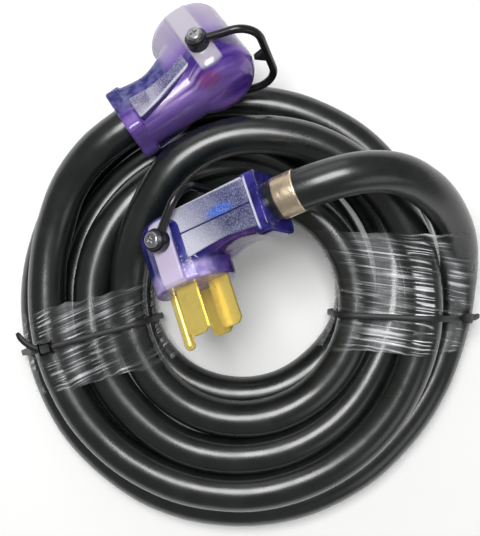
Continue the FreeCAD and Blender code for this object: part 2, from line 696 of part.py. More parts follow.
def wrap_and_tie(film, tie):
    """One sleeve of stretch film and the cable tie that sits in a groove round it."""
    top = UPPER_HEIGHT + CORD_RADIUS + FILM_FIT + FILM_WALL
    inner, outer = film["inner"], film["outer"]
    start, end = -film["width"] / 2, film["width"] / 2
    sleeve = rounded_bar(inner, outer, 0, top, FILM_ROUND, start, end)
    hollow = rounded_bar(
        inner + FILM_WALL, outer - FILM_WALL, FILM_WALL, top - FILM_WALL, FILM_ROUND - FILM_WALL, start, end
    )
    sleeve = sleeve.cut(hollow)
    middle = tie["offset"]
    floor = FILM_WALL - TIE_FILM_LEFT

    def ring(inside, outside, width):
        """A closed band round the bundle between two depths under the film's outer face."""
        low, high = middle - width / 2, middle + width / 2
        skins = []
        for depth in (outside, inside):
            corner = FILM_ROUND - depth
            skins.append(rounded_bar(inner + depth, outer - depth, depth, top - depth, corner, low, high))
        return skins[0].cut(skins[1])

    skin_depth = floor - TIE_THICK
    strap = ring(floor, skin_depth, TIE_WIDTH)
    groove = ring(floor, -TIE_GROOVE_OVER, TIE_WIDTH + 2 * TIE_FIT)
    length, width, height = TIE_HEAD
    head_x = tie["head_at"]
    head_low = top + TIE_FIT
    head = box(
        Vector(head_x - length / 2, middle - width / 2, head_low),
        Vector(head_x + length / 2, middle + width / 2, head_low + height),
    )
    neck = box(
        Vector(head_x - length / 2, middle - TIE_WIDTH / 2, top - floor),
        Vector(head_x + length / 2, middle + TIE_WIDTH / 2, head_low + TIE_NECK_ROOT),
    )
    tail_low = head_low + height / 2 - TIE_TAIL_THICK / 2
    tail = box(
        Vector(head_x, middle - TIE_TAIL_WIDTH / 2, tail_low),
        Vector(head_x + length / 2 + tie["tail"], middle + TIE_TAIL_WIDTH / 2, tail_low + TIE_TAIL_THICK),
    )
    placement = wrap_placement(film["azimuth"])
    pieces = [sleeve.cut(groove), fuse([strap, neck, head, tail])]
    for piece in pieces:
        piece.Placement = placement.multiply(piece.Placement)
    return pieces


def moved_copy(shape, placement):
    """A copy of a shape whose own place is carried along by another."""
    copy = shape.copy()
    copy.Placement = placement.multiply(copy.Placement)
    return copy


def build():
    """Every node of the part, round the coil's axis."""
    nodes = {}
    plug_at = end_placement(PLUG_CENTRE, PLUG_HEADING, PLUG_RISE, PLUG_TILT)
    connector_at = end_placement(CONNECTOR_CENTRE, CONNECTOR_HEADING, CONNECTOR_RISE, CONNECTOR_TILT)
    for pieces, placement in ((plug_end(), plug_at), (connector_end(), connector_at)):
        for name, shape in pieces.items():
            nodes[name] = moved_copy(shape, placement)
    edges, (entry, entry_tangent), (leave, leave_tangent) = coil_path()
    print("coil's least gap to itself", round(least_gap(edges), 3))
    nodes["cord_coil"] = sweep(edges, CORD_RADIUS)
    plug_points = [plug_at.multVec(Vector(x, 0, 0)) for x in (JACKET_SEAT, PLUG_AXIS_RUN)]
    plug_points += [Vector(*point) for point in PLUG_ROUTE]
    plug_points += [entry - entry_tangent * PLUG_LAST_RUN, entry]
    connector_points = [leave, leave + leave_tangent * CONNECTOR_FIRST_RUN]
    connector_points += [Vector(*point) for point in CONNECTOR_ROUTE]
    connector_points += [connector_at.multVec(Vector(x, 0, 0)) for x in (CONNECTOR_AXIS_RUN, JACKET_SEAT)]
    total = sum(edge.Length for edge in edges)
    for name, points in (("plug_lead", plug_points), ("connector_lead", connector_points)):
        route, radii = rounded_route(points)
        length = sum(edge.Length for edge in route)
        nodes[name] = sweep(route, CORD_RADIUS)
        share = nodes[name].Volume / (math.pi * CORD_RADIUS**2 * length)
        print(name, "length", round(length, 1), "volume over section times length", round(share, 4))
        print("   radii", [round(radius, 1) for radius in radii])
        print("   points", [tuple(round(value, 1) for value in point) for point in points])
        total += length
    share = nodes["cord_coil"].Volume / (math.pi * CORD_RADIUS**2 * sum(edge.Length for edge in edges))
    print("coil volume over section times length", round(share, 4), "cord's whole length", round(total, 1))
    band_from = plug_at.multVec(Vector(BAND_START, 0, 0))
    band_to = plug_at.multVec(Vector(BAND_START + BAND_LENGTH, 0, 0))
    band_bore = CORD_RADIUS + BAND_FIT
    band = rod(band_from, band_to, band_bore + BAND_WALL)
    nodes["foil_band"] = band.cut(rod(band_from, band_to, band_bore))
    coil_reach = crossing(2 * LOWER_TURNS) - SPIRAL_DRAW + CORD_RADIUS
    left_film = {**LEFT_FILM, "outer": coil_reach + FILM_FIT + FILM_WALL}
    nodes["left_film_wrap"], nodes["left_cable_tie"] = wrap_and_tie(left_film, LEFT_TIE)
    nodes["right_film_wrap"], nodes["right_cable_tie"] = wrap_and_tie(RIGHT_FILM, RIGHT_TIE)
    return nodes, plug_at, connector_at


def main():
    """Build the nodes, move them to the frame and write them."""
    os.makedirs("parts", exist_ok=True)
    nodes, plug_at, connector_at = build()
    whole = FreeCAD.BoundBox()
    for name, shape in nodes.items():
        shape.translate(COIL_AXIS)
        whole.add(shape.optimalBoundingBox(False, False))
        if not shape.isValid():
            print("not valid:", name)
        shape.exportStep(f"parts/{name}.step")
    print(len(nodes), "nodes, box", whole)
    print("centre of the box", round(whole.Center.x, 2), round(whole.Center.y, 2))
    for name, placement in (("plug", plug_at), ("connector", connector_at)):
        centre = placement.Base + COIL_AXIS
        axes = [placement.Rotation.multVec(v) for v in (Vector(1, 0, 0), Vector(0, 1, 0), UP)]
        print(name, tuple(round(v, 3) for v in centre), [tuple(round(v, 5) for v in axis) for axis in axes])


main()
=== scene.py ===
"""A coiled shore power cord of 50 A size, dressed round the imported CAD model.

The jacketed cord lies in two layers of loose turns. One end rises out of the coil to a right-angled plug, and
the other runs up to a right-angled connector. Two wraps of clear stretch film and two cable ties hold the
turns. Lengths are in metres in the frame of the CAD model, unless a name or a comment says millimetres.
"""

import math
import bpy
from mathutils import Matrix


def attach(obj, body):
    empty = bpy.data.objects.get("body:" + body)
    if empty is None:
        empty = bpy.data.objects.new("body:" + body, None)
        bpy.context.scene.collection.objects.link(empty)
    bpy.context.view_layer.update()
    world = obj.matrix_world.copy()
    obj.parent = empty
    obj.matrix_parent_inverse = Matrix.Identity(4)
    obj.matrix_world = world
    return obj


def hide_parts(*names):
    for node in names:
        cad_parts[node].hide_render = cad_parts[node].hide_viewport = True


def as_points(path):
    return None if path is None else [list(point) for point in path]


bl_info = {
    "name": "Coiled Shore Power Cord",
    "version": (1, 0, 0),
    "blender": (4, 5, 0),
    "location": "3D View > Sidebar > Shore Cord",
    "description": "Dresses a coiled shore power cord with its plug, connector, film wraps and ties",
    "category": "Add Mesh",
}

import bmesh
import bpy
from bpy.props import FloatProperty, FloatVectorProperty, IntProperty, PointerProperty
from mathutils import Vector, noise

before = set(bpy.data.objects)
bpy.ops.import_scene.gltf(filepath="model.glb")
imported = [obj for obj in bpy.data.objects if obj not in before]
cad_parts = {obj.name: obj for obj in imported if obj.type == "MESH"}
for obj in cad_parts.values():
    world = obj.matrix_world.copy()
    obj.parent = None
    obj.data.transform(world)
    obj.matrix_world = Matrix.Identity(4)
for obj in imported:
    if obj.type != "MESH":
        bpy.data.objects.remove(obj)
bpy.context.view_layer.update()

MM = 0.001
UP = Vector((0, 0, 1))

# The coil's axis on the floor
COIL_AXIS = Vector((-8.63, -19.58, 0)) * MM


class End:
    """Where the plug or the connector lies: its pivot centre, and its directions cordwards, across and out."""

    def __init__(self, name, centre, along, across, out):
        self.name = name
        self.centre = Vector(centre) * MM
        self.along = Vector(along)
        self.across = Vector(across)
        self.out = Vector(out)

    def place(self, along, across=0.0, out=0.0):
        """A point in this end's own frame, in millimetres, as a point of the model."""
        return self.centre + (self.along * along + self.across * across + self.out * out) * MM


PLUG = End(
    "plug",
    centre=(-40.53, 13.52, 78),
    along=(0.82246, 0.38073, 0.42262),
    across=(-0.47918, 0.06339, 0.87543),
    out=(0.30651, -0.92251, 0.23457),
)
CONNECTOR = End(
    "connector",
    centre=(-25.23, 117.62, 59),
    along=(-0.83001, -0.55775, 0),
    across=(-0.27887, 0.41501, 0.86603),
    out=(-0.48302, 0.71881, -0.5),
)

# How far out an end's jacket starts inside its neck, and where its collar's face is, in millimetres
JACKET_SEAT = 50.0
COLLAR_FACE = 61.0

# The moulded ends, in millimetres in an end's own frame
HEAD_RADIUS = 23.5
BACK_ROUND = 12.0
FACE_ROUND = 1.4
PAD_HALF = 7.0
PAD_ROOT = 17.0
PAD_REACH = 24.2
PANEL_CORNER = 1.6
PANEL_EDGE = 0.35

# Rows of a neck or a collar: along, half width, back and front
COLLAR = [(51.4, 15.4, -16.8, 16.8), (52.2, 16.5, -18, 18), (60.2, 16.5, -18, 18), (61, 15.8, -17.3, 17.3)]
PLUG_NECK = [
    (2, 20.6, -16.9, 18.0), (9, 19.9, -17.0, 18.0), (16, 19.0, -17.0, 18.0), (23, 18.1, -17.0, 16.4),
    (30, 17.3, -17.0, 14.6), (38, 16.6, -17.1, 14.0), (46, 16.2, -17.4, 15.4), (53, 16.1, -17.7, 17.4),
]
CONNECTOR_NECK = [
    (12, 19.5, -18.6, 23.4), (17, 18.9, -18.5, 22.4), (23, 18.1, -18.3, 18.8), (30, 17.3, -18.0, 15.4),
    (37, 16.6, -17.8, 14.0), (45, 16.2, -17.6, 15.2), (53, 16.1, -17.7, 17.4),
]

# How square a neck's section is at its back and at its front, and a collar's all round. 2 is an ellipse
BACK_POWER = 2.7
FRONT_POWER = 5.5
COLLAR_POWER = 7.0

# The frosted plates on a neck's sides, as outlines along and out, in millimetres
PLUG_PANELS = [
    [(7.8, -14.2), (54.4, -15.2), (54.4, -0.4), (7.8, -0.4)],
    [(7.8, 0.4), (54.4, 0.4), (54.4, 13.6), (36, 11.6), (22, 12.8), (7.8, 14.6)],
]
CONNECTOR_PANELS = [
    [(1.0, 0.5), (14, -6.2), (30, -11.4), (50.8, -14.6), (50.8, 1.8), (38, -0.8), (24, 0.2), (9, 5.4)],
]

# The cord's route, in millimetres from the coil's axis. First the lead down from the plug, as x, y, height
LEAD_DOWN = [(83, 73.5, 108.5), (111, 62, 83), (128, 45, 55), (136, 25, 33), (137.3, 4, 19)]

# Then the turns, clockwise from above, as azimuth in degrees, radius, height
TURNS = [
    (-7, 136.7, 13.3), (-30, 136.1, 13.3), (-60, 137.6, 13.3), (-90, 138.6, 13.3), (-120, 137.6, 13.3),
    (-150, 134.5, 13.3), (-180, 132.7, 13.3), (-210, 132.4, 13.3), (-240, 131.9, 13.3),
    (-270, 129.1, 13.3), (-295, 127.8, 13.3), (-318, 127.4, 13.3), (-340, 121, 13.3), (-360, 113.7, 13.3),
    (-380, 110.6, 13.3), (-405, 111.6, 13.3), (-430, 113.2, 13.3), (-455, 113.9, 13.3),
    (-480, 113.2, 13.3), (-510, 110.7, 13.3), (-540, 108.4, 13.3), (-565, 107.3, 13.3),
    (-588, 106.5, 13.3), (-610, 105.4, 13.3), (-632, 104.7, 13.3), (-652, 104.9, 13.8), (-670, 105.3, 17),
    (-688, 103.7, 23.5), (-705, 99.6, 30.5), (-722, 95.1, 35), (-740, 93.6, 36.3), (-765, 95.7, 36.8),
    (-790, 97.6, 36.8), (-815, 98.3, 36.8), (-840, 98.3, 36.8), (-870, 96.2, 36.8), (-900, 93.2, 36.8),
    (-922, 92.5, 36.8), (-942, 91.9, 36.3), (-962, 90.7, 34), (-980, 88.1, 28), (-998, 84.5, 20.5),
    (-1016, 81.6, 15.3), (-1036, 79.3, 13.3), (-1058, 77, 13.3), (-1082, 74.2, 13.3), (-1107, 68.6, 13.3),
    (-1132, 64.5, 13.3), (-1157, 62.5, 13.3), (-1182, 62.5, 13.3), (-1207, 63.5, 13.3), (-1232, 65, 13.3),
    (-1256, 66.3, 13.3), (-1278, 67.1, 14.2), (-1298, 67.5, 18), (-1318, 67.5, 24.5), (-1338, 67, 31.5),
    (-1358, 67.6, 37), (-1380, 69.8, 40), (-1402, 71.8, 41.5), (-1424, 72.4, 42), (-1448, 73.1, 41.5),
    (-1472, 73.7, 39.5), (-1497, 74.8, 37.3), (-1522, 75.1, 36.8), (-1547, 74.4, 36.8),
    (-1572, 72.7, 36.8), (-1597, 69.9, 36.8), (-1618, 68.8, 37.5), (-1636, 70.3, 41.5), (-1652, 73.2, 48),
    (-1668, 79.3, 55), (-1684, 90, 59.5), (-1702, 97.8, 60.5), (-1722, 102, 60), (-1742, 106.1, 57.5),
    (-1762, 109.1, 54), (-1782, 111.2, 51), (-1802, 112.2, 48.8), (-1822, 113.5, 46.5), (-1845, 116.1, 43),
    (-1868, 118.7, 39.5), (-1892, 120.7, 37.3), (-1917, 121.6, 36.8), (-1942, 121.6, 36.8),
    (-1967, 120.9, 36.8), (-1990, 120.7, 37.2),
]

# Last the lead up to the connector, as x, y, height
LEAD_UP = [(-112.3, 48, 39.5), (-104.5, 67.5, 45.5), (-92, 84.5, 53)]

# How far out on an end's own axis the route's point next to that end lies, in millimetres
PLUG_AXIS_RUN = 91.0
CONNECTOR_AXIS_RUN = 73.0

# The film and the ties hold the turns below this height, and leave the two leads above it free
HELD_BELOW = 0.062

# Where round the coil each wrap lies, in degrees, and how far off the turns its film and its tie run
WRAP_AZIMUTH = {"left": 195.0, "right": -2.0}
FILM_CLEARANCE = 0.0009
FILM_THICKNESS = 0.00012
TIE_CLEARANCE = 0.0016

# A tie's head as length, width and height, how far its middle is over the band, and its rounded edge
TIE_HEAD = (0.0072, 0.0062, 0.0044)
TIE_HEAD_LIFT = 0.0018
TIE_HEAD_EDGE = 0.0009

# A tie's tail: how far from the head's middle it starts, half its thickness, its steps and its teeth
TAIL_ROOT = 0.003
TAIL_HALF = 0.0005
TAIL_STEPS = 12
TOOTH_PITCH = 0.0011
TOOTH_SIZE = 0.0006

# The foil band: how far it starts from the collar, its length and its thickness
FOIL_GAP = 0.003
FOIL_LENGTH = 0.0125
FOIL_THICKNESS = 0.00025

# The jacket's slow waves and the foil's crinkles: how deep, and how many a metre
JACKET_WAVES = (0.0005, 30.0)
FOIL_CRINKLES = (0.00012, 400.0)

# How many sides a turn's section has where film is stretched over it
DISC_SIDES = 20

# The grain of the moulded ends' meshes, and how often they are smoothed
SHELL_GRAIN = 0.0006
SHELL_SMOOTHING = 4

# The camera looks straight down. Its lens is in millimetres
CAMERA_PLACE = (-0.00863, 0.00042, 0.6)
CAMERA_LENS = 61.59

FLOOR_REACH = 4.0
SKY_LEVEL = 0.22


def on_coil(azimuth, radius, height):
    """A point of the model from its azimuth in degrees, and its radius and height in millimetres."""
    angle = math.radians(azimuth)
    return COIL_AXIS + Vector((radius * math.cos(angle), radius * math.sin(angle), height)) * MM


def from_axis(x, y, height):
    """A point of the model from its place beside the coil's axis, in millimetres."""
    return COIL_AXIS + Vector((x, y, height)) * MM


def smooth(low, high, value):
    """0 below low, 1 above high, and a smooth step between."""
    share = min(max((value - low) / (high - low), 0.0), 1.0)
    return share * share * (3 - 2 * share)


# ---------------------------------------------------------------- finishes


class Shade:
    """An output socket of a material, which Python's operators turn into Math nodes."""

    def __init__(self, finish, socket):
        self.finish = finish
        self.socket = socket

    def math(self, operation, *values):
        """A Math node on these values."""
        return self.finish.node("ShaderNodeMath", {"operation": operation}, dict(enumerate(values)))

    def __add__(self, other):
        return self.math("ADD", self, other)

    __radd__ = __add__

    def __sub__(self, other):
        return self.math("SUBTRACT", self, other)

    def __rsub__(self, other):
        return self.math("SUBTRACT", other, self)

    def __mul__(self, other):
        return self.math("MULTIPLY", self, other)

    __rmul__ = __mul__

    def __truediv__(self, other):
        return self.math("DIVIDE", self, other)

    def __rtruediv__(self, other):
        return self.math("DIVIDE", other, self)

    def __pow__(self, other):
        return self.math("POWER", self, other)

    def __abs__(self):
        return self.math("ABSOLUTE", self)

    def between(self, low, high, start=0.0, end=1.0):
        """This value carried from low..high to start..end along a smooth step."""
        return self.finish.node(
            "ShaderNodeMapRange",
            {"interpolation_type": "SMOOTHSTEP"},
            {"Value": self, "From Min": low, "From Max": high, "To Min": start, "To Max": end},
        )


class Finish:
    """A material and its shader. node() adds any node, and shine() sets the shader's own sockets."""

    def __init__(self, name, **sockets):
        self.material = bpy.data.materials.new(name)
        self.material.use_nodes = True
        self.tree = self.material.node_tree
        self.tree.nodes.clear()
        self.shader = self.tree.nodes.new("ShaderNodeBsdfPrincipled")
        output = self.tree.nodes.new("ShaderNodeOutputMaterial")
        self.tree.links.new(self.shader.outputs["BSDF"], output.inputs["Surface"])
        self.shine(**sockets)

    def fill(self, socket, value):
        """Link or set one input socket."""
        if isinstance(value, Shade):
            self.tree.links.new(value.socket, socket)
        elif hasattr(value, "__len__") and len(value) == 3 and len(socket.default_value) == 4:
            socket.default_value = (*value, 1.0)
        else:
            socket.default_value = value

    def shine(self, **sockets):
        """Set or link the shader's sockets, named with underscores for spaces."""
        for name, value in sockets.items():
            self.fill(self.shader.inputs[name.replace("_", " ")], value)
        return self

    def node(self, kind, settings=None, inputs=None, output=0):
        """Add a node, with its settings first and then its sockets' values or links."""
        made = self.tree.nodes.new(kind)
        for name, value in (settings or {}).items():
            setattr(made, name, value)
        for name, value in (inputs or {}).items():
            self.fill(made.inputs[name], value)
        return Shade(self, made.outputs[output])

    def place(self):
        """The point on the piece, in metres in the model's frame."""
        return self.node("ShaderNodeTexCoord", output="Object")

    def run(self):
        """The piece's own map: metres round it and metres along it."""
        return self.node("ShaderNodeUVMap", {"uv_map": "run"})

    def part(self, vector, name):
        """One part of a vector, X, Y or Z."""
        return self.node("ShaderNodeSeparateXYZ", None, {0: vector}, output=name)

    def vectors(self, operation, first, second, output=0):
        """A Vector Math node on two vectors."""
        return self.node("ShaderNodeVectorMath", {"operation": operation}, {0: first, 1: second}, output)

    def leaning(self, run, slope):
        """A map whose run along leans by a slope with its run round."""
        lean = self.node("ShaderNodeCombineXYZ", None, {1: self.part(run, "X") * slope})
        return self.vectors("ADD", run, lean)

    def cloudy(self, vector, scale, detail=3.0, rough=0.5, distortion=0.0):
        """Soft noise from 0 to 1."""
        inputs = {"Vector": vector, "Scale": scale, "Detail": detail, "Roughness": rough, "Distortion": distortion}
        return self.node("ShaderNodeTexNoise", None, inputs)

    def streaks(self, vector, scales, detail, rough=0.5, distortion=0.0):
        """Soft noise with a scale of its own for each part of the vector."""
        return self.cloudy(self.vectors("MULTIPLY", vector, scales), 1.0, detail, rough, distortion)

    def mixed(self, share, first, second):
        """A colour between two, by a share from 0 to 1."""
        return self.node("ShaderNodeMix", {"data_type": "RGBA"}, {0: share, 6: first, 7: second}, output=2)

    def layered(self, colour, *layers):
        """A colour with others laid over it in turn, each by its share."""
        for share, over in layers:
            colour = self.mixed(share, colour, over)
        return colour

    def bumps(self, height, depth, strength=1.0):
        """A normal from a height, with the depth in metres of a height of 1."""
        return self.node("ShaderNodeBump", None, {"Height": height, "Distance": depth, "Strength": strength})


def tinted(colour, times, more=0.0):
    """A colour made lighter or darker, no part of it over 1."""
    return tuple(min(part * times + more, 1.0) for part in colour)


def jacket_finish(colour):
    """Satin black jacket with fine scuffs along it."""
    finish = Finish("jacket_pvc", Specular_IOR_Level=0.65, Coat_Weight=0.35, Coat_Roughness=0.17)
    place = finish.place()
    scuffs = finish.streaks(finish.run(), (900, 45, 0), 4.0, 0.6).between(0.56, 0.78)
    dust = finish.cloudy(place, 60.0, 4.0, 0.55).between(0.35, 0.75)
    grain = finish.cloudy(place, 2600.0, 2.0)
    waves = finish.cloudy(place, 120.0, 1.0)
    return finish.shine(
        Base_Color=finish.mixed(dust * 0.6 + scuffs * 0.4, colour, tinted(colour, 1.6, 0.004)),
        Roughness=0.27 + dust * 0.08 + scuffs * 0.12,
        Normal=finish.bumps(grain * 0.2 + waves, 0.0002, 0.6),
    )


def film_finish(side, colour, slope):
    """Clear stretch film with white creases where it is gathered, and painted glints in dashes where it lies tight
    on a crest, leaning along its winding by a slope.
    """
    finish = Finish(f"{side}_stretch_film", Base_Color=colour, Specular_IOR_Level=0.7)
    run = finish.leaning(finish.run(), slope)
    creases = finish.streaks(run, (9, 330, 0), 4.0, 0.6, 0.15)
    fine = finish.streaks(run, (14, 700, 0), 2.0, 0.5, 0.1)
    patches = finish.streaks(run, (26, 40, 0), 2.0)
    pleats = finish.part(run, "Y") * 2100.0 + finish.streaks(run, (11, 130, 0), 2.0) * 30.0
    pleats = pleats.math("SINE", pleats)
    touch, loose = (
        finish.node("ShaderNodeAttribute", {"attribute_name": name}, output="Fac") for name in ("touch", "loose")
    )
    white = (creases.between(0.5, 0.68) * 0.3 + fine.between(0.52, 0.7) * 0.22) * patches.between(0.3, 0.6)
    white = white * (loose * 1.7 + 0.6) + loose * 0.13
    # bright: painted glints, white dashes of highlight where the film lies tight on a turn's crest
    bright = touch * pleats.between(0.2, 0.95) * patches.between(0.34, 0.62) * (fine * 0.9 + 0.5)
    return finish.shine(
        Alpha=(white + bright * 0.75 + 0.035).between(0.0, 1.0, 0.0, 1.0),
        Roughness=0.16 + patches * 0.14,
        Normal=finish.bumps(creases + fine * 0.3, 0.0005, 0.7),
    )


def nylon_finish(colour):
    """Matte black moulded nylon."""
    finish = Finish("tie_nylon")
    grain = finish.cloudy(finish.place(), 1800.0, 3.0)
    return finish.shine(
        Base_Color=finish.mixed(grain, colour, tinted(colour, 1.6)),
        Roughness=0.45 + grain * 0.15,
        Normal=finish.bumps(grain, 0.00004, 0.6),
    )


def foil_finish(colour):
    """Bright crinkled gold foil, bare."""
    finish = Finish("gold_foil", Metallic=1.0)
    place = finish.place()
    crinkle = finish.cloudy(place, 420.0, 4.0, 0.6, 0.4)
    rubbed = finish.cloudy(place, 150.0, 3.0).between(0.4, 0.7)
    return finish.shine(
        Base_Color=finish.mixed(rubbed, colour, tinted(colour, 0.8)),
        Roughness=0.3 + rubbed * 0.16,
        Normal=finish.bumps(crinkle, 0.0003, 0.6),
    )


def metal_finish(name, colour, rough, brush=(900.0, 900.0, 90.0), shade=0.82, metallic=0.9):
    """Metal with fine brushing and light wear."""
    finish = Finish(name, Metallic=metallic)
    place = finish.place()
    lines = finish.streaks(place, brush, 4.0, 0.6)
    wear = finish.cloudy(place, 200.0, 3.0).between(0.45, 0.75)
    return finish.shine(
        Base_Color=finish.mixed(wear, colour, tinted(colour, shade)),
        Roughness=rough + lines * 0.12 + wear * 0.06,
        Normal=finish.bumps(lines, 0.00005, 0.5),
    )


def plastic_finish(name, colour, rough, lift=1.5, **sockets):
    """Moulded plastic with faint flow marks."""
    finish = Finish(name, **sockets)
    place = finish.place()
    flow = finish.cloudy(place, 160.0, 3.0, 0.5, 0.6)
    grain = finish.cloudy(place, 2200.0, 2.0)
    return finish.shine(
        Base_Color=finish.mixed(flow, colour, tinted(colour, lift, 0.002)),
        Roughness=rough + flow * 0.08 + grain * 0.04,
        Normal=finish.bumps(flow + grain * 0.2, 0.00005, 0.5),
    )


class EndFinish(Finish):
    """A finish that knows where a point lies in an end's own frame, in millimetres along, across and out."""

    def __init__(self, name, end, **sockets):
        super().__init__(name, **sockets)
        self.point = self.place()
        offset = self.vectors("SUBTRACT", self.point, tuple(end.centre))
        self.along, self.across, self.out = (
            self.vectors("DOT_PRODUCT", offset, tuple(axis / MM), "Value")
            for axis in (end.along, end.across, end.out)
        )

    def near(self, spot, reach):
        """1 at a spot and 0 beyond a reach from it, each given as three lengths."""
        parts = zip((self.along, self.across, self.out), spot, reach)
        return 1 - sum(((value - middle) / length) ** 2 for value, middle, length in parts).between(0.0, 1.0)


class TintedMoulding(EndFinish):
    """An end's tinted plastic, with coarse and fine clouds, and the pads under its handle's screws."""

    def __init__(self, end, clear, coat, cloud_scale, depth_scale):
        super().__init__(
            f"{end.name}_tinted_moulding",
            end,
            Transmission_Weight=clear,
            IOR=1.46,
            Specular_IOR_Level=0.4,
            Subsurface_Weight=0.12,
            Subsurface_Radius=(0.004, 0.004, 0.009),
            Subsurface_Scale=1.0,
            Coat_Weight=coat,
            Coat_Roughness=0.06,
        )
        self.clouds = self.cloudy(self.point, cloud_scale, 3.0, 0.55, 0.8)
        self.depth = self.cloudy(self.point, depth_scale, 2.0, 0.5, 0.4)
        self.pad = (1 - abs(self.along).between(6.4, 7.4)) * abs(self.across).between(19.5, 21.5)

    def coloured(self, colour, hazy):
        """Give it its colour, and more roughness where it is hazy."""
        return self.shine(
            Base_Color=colour,
            Roughness=0.07 + self.clouds * 0.08 + hazy,
            Normal=self.bumps(self.clouds + self.depth * 0.2, 0.0003, 0.5),
        )


def plug_tint():
    """Deep blue at the back, pale at the pads and the rim, dark purple under the neck, indigo at the collar, and a
    painted highlight line on the collar's edge by the panels.
    """
    finish = TintedMoulding(PLUG, clear=0.2, coat=0.12, cloud_scale=75.0, depth_scale=210.0)
    along, across, out, clouds = finish.along, finish.across, finish.out, finish.clouds
    deep = finish.mixed(clouds.between(0.35, 0.7), (0.012, 0.014, 0.16), (0.05, 0.045, 0.36))
    purple = finish.mixed(clouds.between(0.4, 0.66), (0.05, 0.02, 0.17), (0.16, 0.05, 0.33))
    lilac = finish.mixed(finish.depth.between(0.35, 0.7), (0.4, 0.31, 0.74), (0.66, 0.56, 0.9))
    navy = finish.mixed(clouds.between(0.35, 0.7), (0.008, 0.01, 0.11), (0.05, 0.04, 0.3))
    rim = out.between(14, 20) * (1 - along.between(16, 24))
    # A thin near-white line on the collar's edge beside the panels: a painted highlight
    painted_edge_highlight = along.between(54.4, 54.9) * (1 - along.between(55.5, 56.3)) * (1 - abs(out).between(13, 17))
    body = finish.layered(
        deep,
        (along.between(18, 27) * out.between(9, 13), purple),
        (rim * 0.9, lilac),
        (finish.pad * 0.88, (0.8, 0.7, 0.92)),
        (along.between(51, 54), navy),
        (painted_edge_highlight * across.between(14.5, 16) * 0.9, (0.85, 0.85, 0.97)),
    )
    return finish.coloured(body, finish.pad * 0.08)


def connector_tint():
    """Pale lavender barrel, a whiter pad, violet body with painted pink highlight streaks, painted light on its
    back, and a deep blue waist.
    """
    finish = TintedMoulding(CONNECTOR, clear=0.4, coat=0.35, cloud_scale=70.0, depth_scale=230.0)
    along, across, out, depth = finish.along, finish.across, finish.out, finish.depth
    own = finish.node("ShaderNodeCombineXYZ", None, {0: along * MM, 1: across * MM, 2: out * MM})
    streaky = finish.streaks(own, (14.0, 60.0, 110.0), 3.0, 0.55, 0.6)
    violet = finish.mixed(streaky.between(0.36, 0.66), (0.09, 0.03, 0.36), (0.34, 0.19, 0.72))
    blue = finish.mixed(depth.between(0.35, 0.65), (0.05, 0.05, 0.27), (0.2, 0.19, 0.5))
    lilac = finish.mixed(out.between(8, 34), (0.54, 0.43, 0.82), (0.82, 0.72, 0.93))
    lilac = finish.mixed(depth * 0.3, lilac, (0.85, 0.8, 0.93))
    band = (1 - abs(out + 1).between(2, 5)) * along.between(-2, 6) * 0.6
    waist = along.between(18, 26) * out.between(-1, 6) + band
    # edge: brighter violet over the middle of the back, painted light as if shining through the tinted body
    edge = (1 - abs(across).between(8, 15)) * (1 - out.between(-19, -12)) * along.between(-6, 8)
    barrel = out.between(2, 13) * (1 - along.between(20, 27))
    # stretch and lines: pink-white streaks on the body's side, painted highlights
    stretch = abs(across).between(9, 13) * along.between(2, 14) * (1 - along.between(34, 47))
    lines = []
    for middle, lean, width, share in (
        (-12.5, -0.02, 1.5, 0.75), (-8.5, -0.14, 0.7, 0.55), (-16.2, 0.03, 0.8, 0.5),
    ):
        line = (1 - abs(out - along * lean - middle).between(0.3, width)) * stretch * streaky.between(0.3, 0.55)
        lines.append((line * share, (0.84, 0.66, 0.95)))
    body = finish.layered(
        violet,
        (waist.between(0.0, 1.0), blue),
        (along.between(49, 51) * out.between(-6, 2), blue),
        (edge * 0.35, (0.5, 0.34, 0.85)),
        *lines,
        (finish.near((6, 14, -17), (9, 7, 7)) * 0.55, (0.4, 0.04, 0.16)),
        (barrel * 0.92, lilac),
        (finish.pad * 0.8, (0.88, 0.83, 0.92)),
    )
    return finish.coloured(body, barrel * 0.1)


